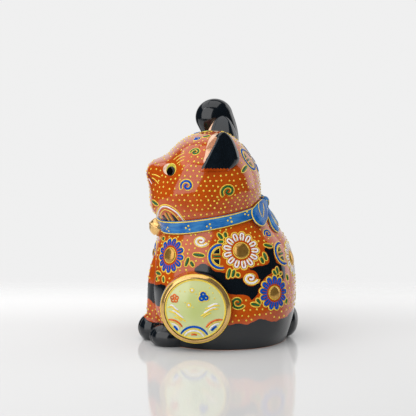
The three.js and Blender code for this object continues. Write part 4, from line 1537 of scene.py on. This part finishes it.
class CAT_OT_medallions(CatOperator):
    """Turn the gilt rims and the domed panels"""

    bl_idname = "cat.medallions"
    bl_label = "Medallions"

    def execute(self, context):
        inner = RIM_RADIUS - RIM_WIDTH
        rim_profile = [
            (RIM_RADIUS - RIM_WIDTH * t, SEAM + RIM_HEIGHT * (t + RIM_SWELL * sin(pi * t)))
            for t in np.linspace(0, 1, RIM_STEPS)
        ]
        rim_profile += [(inner, SEAM + RIM_HEIGHT - RIM_STEP), (inner, DISC_ROOT), (RIM_RADIUS, DISC_ROOT)]
        panel_profile = [(0, DISC_ROOT), (PANEL_RADIUS + SEAM, DISC_ROOT)]
        panel_profile += [
            (r, SEAM + PANEL_EDGE + (PANEL_DOME - PANEL_EDGE) * (1 - (r / PANEL_RADIUS) ** 2))
            for r in np.linspace(PANEL_RADIUS, 0, PANEL_STEPS)
        ]
        for name, side in SIDES:
            turn_rim(name, side, rim_profile)
            turn_panel(name, side, panel_profile)
        return {"FINISHED"}


def ribbon_section():
    """Heights from the ribbon's middle with distances from the skin."""
    half, face = RIBBON_WIDTH / 2, SEAM + RIBBON_THICKNESS
    pairs = [(-half, RIBBON_ROOT)]
    for t in np.linspace(0, pi, RIBBON_STEPS):
        lift = face * sin(t) ** RIBBON_SQUARENESS + RIBBON_CROWN * sin(t)
        pairs.append((-half * cos(t), lift - RIBBON_SINK))
    return pairs + [(half, RIBBON_ROOT)]


def lay_ribbon():
    middle = NECK_HEIGHT + RIBBON_LIFT
    rows = [skin_out(place_at(middle + up), AROUND, out) for up, out in ribbon_section()]
    made = mesh_object("neck_ribbon", *faces_over(rows, loop=True))
    count = len(rows)
    along = np.tile(AROUND * RIBBON_STRETCH, count)
    set_way_uv(made, along, np.repeat(np.arange(count) / count, COLUMNS))
    settle(made, "ribbon", "collar_ribbon")
    canvas = Canvas(tree_of_object(made))
    for row in (rows[RIBBON_EDGE_ROW], rows[-1 - RIBBON_EDGE_ROW]):
        motif = Motif()
        motif.line("yellow", canvas.snap(row[::2]), STROKES["ribbon"], closed=True)
        MOTIFS.append(motif)


def folded(node, rows, stretch):
    """Piece of the bow, with brush strokes along its rows."""
    made = mesh_object(f"{node}_folded", *faces_over(rows))
    share = np.concatenate([np.full(len(row), k / len(rows)) for k, row in enumerate(rows)])
    across = np.concatenate([np.arange(len(row)) / len(row) for row in rows])
    set_way_uv(made, share * stretch, across)
    trim(made, skin_core(SHALLOW_BITE))
    settle(made, "ribbon", node)
    return Canvas(tree_of_object(made))


def lay_strip(node, strip, side, lift):
    """Outlined strip of the bow, as its canvas, motif, centre line and outward direction."""
    first, last = strip[0], strip[-1]
    heights = place_at(NECK_HEIGHT - first[1]), place_at(NECK_HEIGHT - last[1])

    def around(angle):
        return around_at_turn(pi / 2 - side * radians(angle))

    def deep(place):
        share = place / (len(strip) - 1)
        angle = first[0] + (last[0] - first[0]) * share
        return skin_normal(heights[0] + (heights[1] - heights[0]) * share, around(angle))

    knots = []
    for angle, drop, half in strip:
        spot = skin_out(place_at(NECK_HEIGHT - drop), around(angle), SEAM + lift)
        knots.append((*spot, half, BOW_HALF_THICKNESS))
    rows = limb_rows(knots, last[2], deep, STRIP_SIDES, STRIP_STEPS)
    canvas, motif = folded(node, rows, STRIP_STRETCH), Motif()
    outline = canvas.snap(strip_outline(knots, deep, last[2]))
    motif.line("yellow", outline, STROKES["bow"])
    MOTIFS.append(motif)
    return canvas, motif, knots, deep


def strip_outline(knots, deep, reach):
    """Points along one edge of a strip, round its end and back."""
    end = len(knots) - 1
    edges = [limb_ring(knots, p, BOW_EDGES, deep(p)) for p in np.linspace(EDGE_START, end, EDGE_POINTS)]
    one, other = edges[-1]
    ahead = limb_ring(knots, end, BOW_EDGES, deep(end), 1.0, 1.0).mean(0) - (one + other) / 2
    bend = [
        (one + other) / 2 + (one - other) / 2 * cos(t) + ahead * reach * sin(t)
        for t in np.linspace(0, pi, BEND_POINTS)[1:-1]
    ]
    return np.vstack([[pair[0] for pair in edges], bend, [pair[1] for pair in edges[::-1]]])


def lay_loop(node, side):
    """Loop of the bow, with folds drawn on the left one and mirrored."""
    _, motif, _, _ = lay_strip(node, LOOP, side, LOOP_LIFT)
    folds = Motif()
    for line in LOOP_LINES:
        drawn(folds, Canvas(tree_of_object(PIECES["bow_left_loop"])), line, "yellow", STROKES["fold"])
    motif.lines += (folds if side > 0 else folds.mirrored()).lines


def lay_streamer(node, side):
    canvas, motif, knots, deep = lay_strip(node, STREAMER, side, 0)
    places = np.linspace(CREST_START, len(knots) - 1, CREST_POINTS)
    crest = [limb_ring(knots, p, np.array([np.pi / 2]), deep(p))[0] for p in places]
    motif.line("yellow", canvas.snap(crest), STROKES["fold"])


def tie_knot():
    middle = skin_out(float(NECK), BACK, RIBBON_THICKNESS + KNOT_PROUD)
    depth, pitch, size = KNOT_PLEATS
    rows = []
    for row in ellipsoid_rows((0, 0, 0), KNOT_SIZE):
        pleat = 1 + depth * np.cos(row[:, :1] * pitch) * (1 - (row[:, 2:] / KNOT_SIZE[2]) ** 2)
        rows.append(row * pleat * size + middle)
    canvas, motif = folded("bow_knot", rows, KNOT_STRETCH), Motif()
    for x in (-KNOT_LINE, KNOT_LINE):
        heights = middle[2] + np.linspace(-KNOT_LINE, KNOT_LINE, KNOT_LINE_POINTS)
        line = [(x, middle[1] + KNOT_BEHIND, height) for height in heights]
        motif.line("yellow", canvas.snap(line), STROKES["knot"])
    MOTIFS.append(motif)


def hang_bell():
    hung = skin_out(place_at(NECK_HEIGHT - BELL_HANG), FRONT, BELL_PROUD)
    c, s = cos(BELL_LEAN), sin(BELL_LEAN)
    lean = np.array([(1, 0, 0), (0, c, -s), (0, s, c)])
    turns = turns_of(LIMB_SIDES)
    rows = []
    for rise in np.linspace(-pi / 2, pi / 2, BELL_STEPS):
        band = BELL_BAND * exp(-(rise / BELL_BAND_RISE) ** 2)
        radius = (BELL_RADIUS + band) * cos(rise)
        ring = np.stack([radius * np.cos(turns), radius * np.sin(turns), 0 * turns], -1)
        ring = hung + (ring + (0, 0, BELL_RADIUS * sin(rise))) @ lean
        rows.append(ring[:1] if radius < 1e-6 else ring)
    made = mesh_object("gilt_bell", *faces_over(rows))
    half = np.array([BELL_SLOT_REACH * BELL_RADIUS, BELL_SLOT / 2, BELL_RADIUS])
    low = np.array([0, 0, -BELL_RADIUS - BELL_SLOT])
    corners = [hung + corner @ lean for corner in np.array(box_corners(low - half, low + half))]
    trim(made, mesh_object("slot", corners, BLOCK_FACES), skin_core(SHALLOW_BITE))
    settle(made, "polish", "bell")


class CAT_OT_collar(CatOperator):
    """Lay the ribbon round the neck, with its bow on the nape and its bell in front"""

    bl_idname = "cat.collar"
    bl_label = "Collar, bow and bell"

    def execute(self, context):
        lay_ribbon()
        for name, side in SIDES:
            lay_loop(f"bow_{name}_loop", side)
            lay_streamer(f"bow_{name}_streamer", side)
        tie_knot()
        hang_bell()
        return {"FINISHED"}


def skin_spot(canvas, around, height):
    """Point and normal at a share of the way round and a height."""
    return canvas.spot(skin(place_at(height), around))


def beside_flowers(canvas, motif):
    hearts = [(canvas.pixel(*f[:2])[0], f[2] + FLOWER_CLEARANCE) for f in FLOWERS]
    hearts += [(skin_spot(canvas, *f[:2])[0], f[2] + FLOWER_CLEARANCE) for f in BACK_FLOWERS]

    def clear(points):
        return np.all([np.linalg.norm(points - c, axis=1) > r for c, r in hearts], axis=0)

    kept = Motif()
    for tone, points, normals, widths, closed in motif.lines:
        shown = clear(points)
        if shown.all():
            kept.lines.append((tone, points, normals, widths, closed))
            continue
        for start in np.flatnonzero(shown & ~np.roll(shown, 1)):
            run = []
            while shown[(start + len(run)) % len(points)]:
                run.append((start + len(run)) % len(points))
            kept.lines.append((tone, points[run], normals[run], widths[run], False))
    kept.patches = [p for p in motif.patches if clear(np.vstack(p[1])).all()]
    kept.hubs = motif.hubs
    return kept


def arch(canvas):
    motif = Motif()
    for knots, tone, width in ARCH_LINES:
        drawn(motif, canvas, knots, tone, width)
    for outline in ARCH_CELLS:
        cell(motif, "coal", canvas.photo, outline)
    return motif


class CAT_OT_ornament(CatOperator):
    """Lay out flowers, scrolling vines, wheels and leaves over the castings"""

    bl_idname = "cat.ornament"
    bl_label = "Ornament"

    def execute(self, context):
        canvas = Canvas(TREES["skin"])
        visible = [flower(canvas, canvas.pixel(*f[:2]), *f[2:]) for f in FLOWERS]
        visible += [spiral(canvas, canvas.pixel(*s[:2]), *s[2:]) for s in SPIRALS]
        visible += [beside_flowers(canvas, wheel(canvas, canvas.pixel(*w[:2]), *w[2:])) for w in WHEELS]
        visible += [leaf(canvas, *pair) for pair in LEAVES]
        visible.append(arch(canvas))
        arm = spline(np.array(ARM, float)[:, :3], np.linspace(0, len(ARM) - 1, ARM_SAMPLES), 0.5)
        for twin in [motif.mirrored() for motif in visible]:
            gap = np.linalg.norm(twin.points()[:, None] - arm[None], axis=-1).min()
            if gap > ARM_CLEARANCE:
                MOTIFS.append(twin)
        MOTIFS.extend(visible)
        MOTIFS.extend(flower(canvas, skin_spot(canvas, *f[:2]), *f[2:]) for f in BACK_FLOWERS)
        MOTIFS.extend(spiral(canvas, skin_spot(canvas, *s[:2]), *s[2:]) for s in BACK_SPIRALS)
        return {"FINISHED"}


def nose(canvas):
    motif = Motif()
    turn = np.linspace(0, 2 * pi, NOSE_POINTS, endpoint=False)
    up = np.where(np.sin(turn) > 0, *NOSE_HEIGHTS) * np.sin(turn)
    outline = np.stack([np.cos(turn), up], -1) * NOSE_HALF_WIDTH
    cell(motif, "brown", canvas.disc(canvas.spot(NOSE_TIP), 1), outline, NOSE_RISE)
    return motif


class CAT_OT_face(CatOperator):
    """Paint the eyes, nose, mouth and brows"""

    bl_idname = "cat.face"
    bl_label = "Face"

    def execute(self, context):
        canvas = Canvas(TREES["skin"])
        left = Motif()
        for tone, oval, rise, flat, lift in EYE_DOMES:
            dome(left, tone, canvas.photo_disc(*oval), rise, flat, lift)
        ring = circle(1.0, *IRIS_EDGE) * IRIS_EDGE_SHARE
        left.line("yellow", canvas.photo_disc(*IRIS)(ring), STROKES["iris"])
        for knots in BROW_STROKES + MOUTH_STROKES:
            drawn(left, canvas, knots, "yellow", STROKES["whisker"])
        drawn(left, canvas, LIP, "white", STROKES["lip"])
        drawn(left, canvas, MOUTH, "brown", STROKES["mouth"])
        MOTIFS.extend([left, left.mirrored(), nose(canvas)])
        return {"FINISHED"}


class CAT_OT_panels(CatOperator):
    """Draw blossoms, clouds and waves on the medallions"""

    bl_idname = "cat.panels"
    bl_label = "Medallion panels"

    def execute(self, context):
        for name, side in SIDES:
            self.canvas = Canvas(tree_of_object(PIECES[f"{name}_medallion_panel"]))
            self.centre, self.along, self.up, self.out = haunch_frame(side)
            self.motif = Motif()
            self.waves_and_clouds()
            self.blossoms()
            self.dots()
            edge = circle(PANEL_RADIUS - PANEL_EDGE_INSET, count=PANEL_EDGE_POINTS)
            self.line(edge, "yellow", PANEL_STROKES["edge"], closed=True)
            MOTIFS.append(self.motif)
        return {"FINISHED"}

    def above(self, flat):
        return self.centre + flat[:, :1] * self.along + flat[:, 1:] * self.up + self.out * PANEL_DOME

    def line(self, flat, tone, width, closed=False):
        """Line over flat points that lie on the panel."""
        flat = flat[np.linalg.norm(flat, axis=1) < PANEL_RADIUS - PANEL_CLEARANCE]
        found = self.canvas.snap(self.above(flat))
        self.motif.line(tone, found, width * PANEL_LINE, closed, **PANEL_NARROWING)

    def waves_and_clouds(self):
        """Arcs in the lower half, and drifting lines of which most carry a white light."""
        for middle, arcs in WAVES:
            for radius, low, high, tone, width in arcs:
                self.line(circle(radius, low, high, WAVE_POINTS, middle), tone, width)
        for k, knots in enumerate(CLOUDS):
            path = flat_spline(knots, np.linspace(0, len(knots) - 1, CLOUD_POINTS))
            self.line(path, "yellow", PANEL_STROKES["cloud"])
            if k % 3 < 2:
                self.line(path[CLOUD_LIGHT_ENDS] + CLOUD_LIGHT, "white", PANEL_STROKES["cloud_light"])

    def blossoms(self):
        edge, spread, points = BLOSSOM_EDGE
        for x, y, cells, first, radius, count, tone, width in BLOSSOMS:
            for k in range(cells):
                angle = radians(first + 360 / cells * k)
                middle = x + BLOSSOM_REACH * cos(angle), y + BLOSSOM_REACH * sin(angle)
                self.line(circle(radius, count=count, middle=middle), tone, width, closed=True)
                if tone == "cobalt":
                    turn = degrees(angle)
                    arc = circle(edge, turn - spread, turn + spread, points, middle)
                    self.line(arc, "yellow", PANEL_STROKES["blossom_edge"])

    def dots(self):
        for x, y, tone, radius in PANEL_DOTS:
            spot = self.canvas.spot(self.above(np.array([(x, y)])))
            dome(self.motif, tone, self.canvas.disc(spot, radius), PANEL_DOT_RISE)
            if tone == "white":
                ring = circle(PANEL_DOT_RING, count=DOT_RING_POINTS, middle=(x, y))
                self.line(ring, "yellow", PANEL_STROKES["dot_ring"], closed=True)


# Geometry node trees

def open_tree(name, sizes):
    """New tree that takes a geometry, sizes and a material, with its input sockets."""
    tree = bpy.data.node_groups.new(name, "GeometryNodeTree")
    inputs = [("Geometry", "Geometry"), *sizes, ("Material", "Material")]
    for label, kind in inputs:
        tree.interface.new_socket(label, in_out="INPUT", socket_type=f"NodeSocket{kind}")
    tree.interface.new_socket("Geometry", in_out="OUTPUT", socket_type="NodeSocketGeometry")
    nodes = Nodes(tree)
    given = tree.nodes.new("NodeGroupInput").outputs
    return nodes, {label: Socket(nodes, given[label]) for label, _ in inputs}


def stored(nodes, name, kind="FLOAT"):
    return nodes.node("GeometryNodeInputNamedAttribute", {"data_type": kind}, {"Name": name})


def close_tree(nodes, geometry, given):
    real = nodes.node("GeometryNodeRealizeInstances", {}, {"Geometry": geometry})
    smooth = nodes.node("GeometryNodeSetShadeSmooth", {}, {"Geometry": real})
    painted = nodes.node(
        "GeometryNodeSetMaterial", {}, {"Geometry": smooth, "Material": given["Material"]})
    nodes.feed(nodes.tree.nodes.new("NodeGroupOutput").inputs["Geometry"], painted)
    return nodes.tree


def piping_tree():
    """Rounded line along each path, in the path's own width."""
    nodes, given = open_tree("piped_enamel", [("Width", "Float"), ("Sides", "Int")])
    path = nodes.node("GeometryNodeMeshToCurve", {}, {"Mesh": given["Geometry"]})
    ring = nodes.node(
        "GeometryNodeCurvePrimitiveCircle", {}, {"Resolution": given["Sides"], "Radius": 1.0})
    line = nodes.node("GeometryNodeCurveToMesh", {}, {
        "Curve": path, "Profile Curve": ring, "Scale": stored(nodes, "width") * given["Width"],
        "Fill Caps": True})
    return close_tree(nodes, line, given)


def bead_tree():
    """Flattened bead on each point, turned to its normal."""
    nodes, given = open_tree("enamel_beads", [("Radius", "Float"), ("Height", "Float")])
    points = nodes.node("GeometryNodeMeshToPoints", {}, {"Mesh": given["Geometry"]})
    ball = nodes.node("GeometryNodeMeshUVSphere", {}, {
        "Segments": BEAD_SEGMENTS, "Rings": BEAD_RINGS, "Radius": given["Radius"]})
    flat = nodes.node("ShaderNodeCombineXYZ", {}, {"X": 1.0, "Y": 1.0, "Z": given["Height"]})
    bead = nodes.node("GeometryNodeTransform", {}, {"Geometry": ball, "Scale": flat})
    out = stored(nodes, "out", "FLOAT_VECTOR")
    turn = nodes.node("FunctionNodeAlignRotationToVector", {"axis": "Z"}, {"Vector": out})
    placed = nodes.node("GeometryNodeInstanceOnPoints", {}, {
        "Points": points, "Instance": bead, "Rotation": turn, "Scale": stored(nodes, "size")})
    return close_tree(nodes, placed, given)


def grow(made, tree, sizes, finish):
    """Runs a tree on an object, and settles the result as a plain mesh."""
    modifier = made.modifiers.new(tree.name, "NODES")
    modifier.node_group = tree
    sockets = {i.name: i.identifier for i in tree.interface.items_tree if i.in_out == "INPUT"}
    for label, value in {**sizes, "Material": material(finish)}.items():
        modifier[sockets[label]] = value
    apply_modifiers(made)
    if not made.data.polygons:
        raise ValueError(f"{made.name} came out empty")
    settle(made, finish)


def pipe_lines(tone, tree, sizes):
    points, widths, edges = [], [], []
    for line_tone, spots, normals, width, closed in [line for motif in MOTIFS for line in motif.lines]:
        if line_tone != tone:
            continue
        first = sum(len(p) for p in points)
        points.append(spots - normals * (width * LINE_SINK)[:, None])
        widths.append(width * MM)
        edges += [(first + k, first + k + 1) for k in range(len(spots) - 1)]
        if closed:
            edges.append((first + len(spots) - 1, first))
    made = mesh_object(f"{tone}_piping", np.vstack(points), [], edges)
    set_values(made, "width", np.concatenate(widths))
    grow(made, tree, {"Width": sizes.line, "Sides": sizes.line_sides}, tone)


def fill_patches(tone):
    pieces = []
    for patch_tone, rows, turned in [patch for motif in MOTIFS for patch in motif.patches]:
        if patch_tone == tone:
            spots, over = faces_over(rows)
            pieces.append((spots, [face[::-1] for face in over] if turned else over))
    settle(mesh_object(f"{tone}_patches", *joined(pieces)), tone)


class CAT_OT_enamel(CatOperator):
    """Pipe every drawn line and fill every patch, one piece for each enamel"""

    bl_idname = "cat.enamel"
    bl_label = "Raised enamel"

    def execute(self, context):
        tree = piping_tree()
        for tone in LINE_TONES:
            pipe_lines(tone, tree, context.scene.cat_enamel)
        for tone in PATCH_TONES:
            fill_patches(tone)
        return {"FINISHED"}


class CAT_OT_coal(CatOperator):
    """Lay the coal patches over castings and limbs, clear of the ornament"""

    bl_idname = "cat.coal"
    bl_label = "Coal patches"

    def execute(self, context):
        points = np.vstack([motif.points() for motif in MOTIFS])
        near = KDTree(len(points))
        for k, point in enumerate(points):
            near.insert(Vector(point), k)
        near.balance()
        TREES["motif_points"] = near
        for node in ("body_shell", "left_haunch", "right_haunch", "left_foreleg"):
            set_values(PIECES[node], "coal", coal_beside_motifs(coordinates(PIECES[node])))
        set_values(PIECES["head_shell"], "coal", COAL_NONE)
        for node in ("tail", "left_hind_foot", "right_hind_foot"):
            set_values(PIECES[node], "coal", COAL_ALL)
        arm = coordinates(PIECES["raised_right_arm"])
        turn = np.arctan2(arm[:, 1] - ARM_AXIS[1], arm[:, 0] - ARM_AXIS[0])
        set_values(PIECES["raised_right_arm"], "coal", arm[:, 2] - ARM_COAL + jagged(turn, ARM_JAGS))
        return {"FINISHED"}


class CAT_OT_beads(CatOperator):
    """Set rows of beads over the persimmon ground and dots on the collar"""

    bl_idname = "cat.beads"
    bl_label = "Beads"

    def execute(self, context):
        sizes = context.scene.cat_enamel
        self.gap, self.row_gap = sizes.bead_gap / MM, sizes.row_gap / MM
        # Pieces that hide the ground under them
        self.covers = {
            node: tree_of_object(piece) for node, piece in PIECES.items()
            if "shell" not in node and "medallion" not in node
        }
        found = [self.ground_beads(), *self.limb_beads(), *self.collar_dots()]
        spots, normals = (np.vstack(arrays) for arrays in zip(*found))
        made = mesh_object("enamel_beads", spots, [])
        set_values(made, "out", normals)
        rng = np.random.default_rng(SIZE_SEED)
        set_values(made, "size", rng.uniform(*BEAD_SIZES, len(spots)))
        grow(made, bead_tree(), {"Radius": sizes.bead, "Height": sizes.bead_height}, "yellow")
        return {"FINISHED"}

    def shown(self, spots, normals, carrier=None):
        """Which spots are on open persimmon ground."""
        keep = np.maximum(coal_distance(spots), ear_hollow(spots)) < -COAL_CLEAR
        covers = [tree for node, tree in self.covers.items() if node != carrier]
        for k in np.flatnonzero(keep):
            above, out = Vector(spots[k] + normals[k] * BEAD_LIFT), Vector(normals[k])
            keep[k] = TREES["motif_points"].find(above)[2] >= BEAD_CLEAR
            keep[k] = keep[k] and not any(self.covered(tree, above, out) for tree in covers)
        return keep

    @staticmethod
    def covered(tree, above, out):
        """Whether a place lies in or hard against a piece."""
        hit, normal, _, _ = tree.ray_cast(above, out)
        return (hit is not None and normal.dot(out) > 0) or tree.find_nearest(above)[3] < BEAD_COVER

    def ground_beads(self):
        """Rows of beads round the castings, with wider gaps at the front and back."""
        fine = np.linspace(BEAD_START, LAST - BEAD_END, BEAD_SAMPLES)
        way = way_along(skin(fine, BEAD_MERIDIAN))
        places = np.interp(np.arange(self.row_gap / 2, way[-1], self.row_gap), way, fine)
        around = np.linspace(0, 1, AROUND_SAMPLES)
        spots = []
        for k, place in enumerate(places):
            run = np.diff(skin(place, around), axis=0)
            steps = np.linalg.norm(run, axis=1)
            sideways = np.abs(run[:, 1]) / np.maximum(1e-9, steps)
            steps = steps * (BEAD_THINNING + (1 - BEAD_THINNING) * sideways)
            along = np.concatenate([[0], np.cumsum(steps)])
            count = max(1, round(along[-1] / self.gap))
            shares = np.interp((np.arange(count) + 0.5 * (k % 2)) / count * along[-1], along, around)
            spots.append(skin(place, shares))
        spots = np.vstack(spots)
        rng = np.random.default_rng(PLACE_SEED)
        spots, normals = Canvas(TREES["skin"]).snap(spots + rng.normal(0, BEAD_STRAY, spots.shape))
        keep = self.shown(spots, normals)
        return spots[keep], normals[keep]

    def limb_beads(self):
        found = []
        for node, knots, top in (("left_foreleg", FORELEG, np.inf), ("raised_right_arm", ARM, SLEEVE_TOP)):
            steps = int(np.linalg.norm(np.array(knots[0][:3]) - knots[-1][:3]) / self.row_gap)
            rings = []
            for k, place in enumerate(np.linspace(LIMB_BEAD_START, len(knots) - 1, steps)):
                turns = 2 * np.pi * (np.arange(LIMB_BEADS) + 0.5 * (k % 2)) / LIMB_BEADS
                rings.append(limb_ring(knots, place, turns, BACKWARDS))
            spots, normals = Canvas(self.covers[node]).snap(np.vstack(rings))
            keep = self.shown(spots, normals, node) & (spots[:, 2] < top)
            for k in np.flatnonzero(keep):
                keep[k] = not self.covered(TREES["skin"], Vector(spots[k]), Vector(normals[k]))
            found.append((spots[keep], normals[keep]))
        return found

    def collar_dots(self):
        canvas = Canvas(self.covers["collar_ribbon"])
        flips = [np.array([side, 1, 1]) for _, side in SIDES]
        found = []
        for pixel in COLLAR_CLUSTERS:
            centre, normal = canvas.pixel(*pixel)
            for flip in flips:
                found.append(canvas.spread(centre * flip, normal * flip, np.array(CLUSTER) * flip[:2]))
        spots, normals = Canvas(self.covers["bow_knot"]).photo(KNOT_DOTS)
        return found + [(spots * flip, normals * flip) for flip in flips]


def lay_floor(studio):
    """Glossy floor, darker towards the camera by painted shade, that fades out behind."""
    corners = [(x, y, 0) for y in (-FLOOR_HALF, FLOOR_HALF) for x in (FLOOR_BACK, FLOOR_FRONT)]
    made = mesh_object("studio_floor", corners, [(0, 1, 3, 2)])
    paint = Painter("white_acrylic")
    shade = paint.noise(6, 2).step(0.2, 0.8)
    where = paint.node("ShaderNodeSeparateXYZ", {}, {"Vector": paint.place()}, "X")
    tone = paint.mix(shade * 0.3, studio.floor, shaded(studio.floor, 0.97))
    # painted shade: the floor darkens towards the camera
    tone = paint.mix(where.step(*FLOOR_SHADE), tone, shaded(studio.floor, 0.88))
    # painted light: the floor brightens further back
    tone = paint.mix(1.0 - where.step(*FLOOR_GLOW), tone, shaded(studio.floor, 1.21))
    # painted shade in reflections: glossy rays see the floor's front dark
    mirrored = paint.node("ShaderNodeLightPath", output="Is Glossy Ray")
    tone = paint.mix(mirrored * where.step(*FLOOR_MIRROR), tone, MIRRORED_FLOOR_SHADE)
    paint.finish(Base_Color=tone, Roughness=0.06 + shade * 0.03, IOR=1.36)
    clear = paint.node("ShaderNodeBsdfTransparent")
    floor = Socket(paint, paint.shader.outputs[0])
    seen = paint.node("ShaderNodeMixShader", {}, {0: where.step(*FLOOR_FADE), 1: clear, 2: floor})
    paint.feed(paint.tree.nodes["Material Output"].inputs["Surface"], seen)
    made.data.materials.append(paint.material)


def set_surround(scene, studio):
    """Pale backdrop, with a dark surround for reflections that miss it."""
    scene.world = bpy.data.worlds.new("studio_surround")
    scene.world.use_nodes = True
    nodes = Nodes(scene.world.node_tree)
    camera, through, glossy = (
        nodes.node("ShaderNodeLightPath", output=f"Is {ray} Ray")
        for ray in ("Camera", "Transmission", "Glossy")
    )
    way = nodes.node("ShaderNodeTexCoord", output="Generated")
    behind = nodes.node(
        "ShaderNodeVectorMath", {"operation": "DOT_PRODUCT"}, {0: way, 1: BACKDROP_SIDE}, "Value")
    sweep = behind.step(*BACKDROP_SWEEP, SURROUND, studio.backdrop)
    around = nodes.node("ShaderNodeMix", {}, {0: glossy, 2: studio.ambient, 3: sweep})
    seen = camera.combined("MAXIMUM", camera, through)
    strength = nodes.node("ShaderNodeMix", {}, {0: seen, 2: around, 3: studio.backdrop})
    background = nodes.tree.nodes["Background"]
    nodes.feed(background.inputs["Color"], (1, 1, 1))
    nodes.feed(background.inputs["Strength"], strength)


def set_lights():
    for name, place, size, power in SOFT_BOXES:
        light = bpy.data.lights.new(name, "AREA")
        light.shape = "RECTANGLE"
        light.size, light.size_y = size
        light.energy = power
        lamp = bpy.data.objects.new(name, light)
        lamp.location = place
        lamp.rotation_euler = (LIGHT_AIM - Vector(place)).to_track_quat("-Z", "Y").to_euler()
        bpy.context.scene.collection.objects.link(lamp)


def set_camera(scene, studio):
    data = bpy.data.cameras.new("photo_camera")
    data.lens = studio.lens
    data.sensor_width = SENSOR
    data.clip_end = CAMERA_REACH
    half = PHOTO_SIZE / 2 * PIXEL * MM
    away = half / (SENSOR / 2 / studio.lens)
    towards = Vector(TO_CAMERA)
    camera = bpy.data.objects.new("photo_camera", data)
    camera.location = Vector(CAMERA_AIM) * MM + towards * away
    camera.rotation_euler = (-towards).to_track_quat("-Z", "Y").to_euler()
    scene.collection.objects.link(camera)
    scene.camera = camera


class CAT_OT_studio(CatOperator):
    """Set the glossy floor, the pale surround, the soft boxes and the camera"""

    bl_idname = "cat.studio"
    bl_label = "Studio"

    def execute(self, context):
        studio = context.scene.cat_studio
        lay_floor(studio)
        set_surround(context.scene, studio)
        set_lights()
        set_camera(context.scene, studio)
        context.scene.view_settings.view_transform = "Standard"
        return {"FINISHED"}


OPERATORS = (
    CAT_OT_studio, CAT_OT_castings, CAT_OT_ears, CAT_OT_limbs, CAT_OT_haunches, CAT_OT_medallions,
    CAT_OT_collar, CAT_OT_ornament, CAT_OT_face, CAT_OT_panels, CAT_OT_enamel, CAT_OT_coal, CAT_OT_beads,
)
GROUPS = {"cat_enamel": EnamelSizes, "cat_colours": GlazeColours, "cat_studio": StudioSettings}


class CAT_PT_sidebar(bpy.types.Panel):
    """Steps and settings of the cat."""

    bl_label = "Beckoning cat"
    bl_idname = "CAT_PT_sidebar"
    bl_space_type = "VIEW_3D"
    bl_region_type = "UI"
    bl_category = "Cat"

    def draw(self, context):
        for step in OPERATORS:
            self.layout.operator(step.bl_idname)
        for group in (getattr(context.scene, key) for key in GROUPS):
            for name in group.bl_rna.properties.keys():
                if name not in ("rna_type", "name"):
                    self.layout.prop(group, name)


CLASSES = (*GROUPS.values(), *OPERATORS, CAT_PT_sidebar)


def register():
    for each in CLASSES:
        bpy.utils.register_class(each)
    for key, group in GROUPS.items():
        setattr(bpy.types.Scene, key, PointerProperty(type=group))


def unregister():
    for key in GROUPS:
        delattr(bpy.types.Scene, key)
    for each in reversed(CLASSES):
        bpy.utils.unregister_class(each)


def main():
    register()
    for step in OPERATORS:
        getattr(bpy.ops.cat, step.bl_idname.split(".")[1])()


if __name__ == "__main__":
    main()
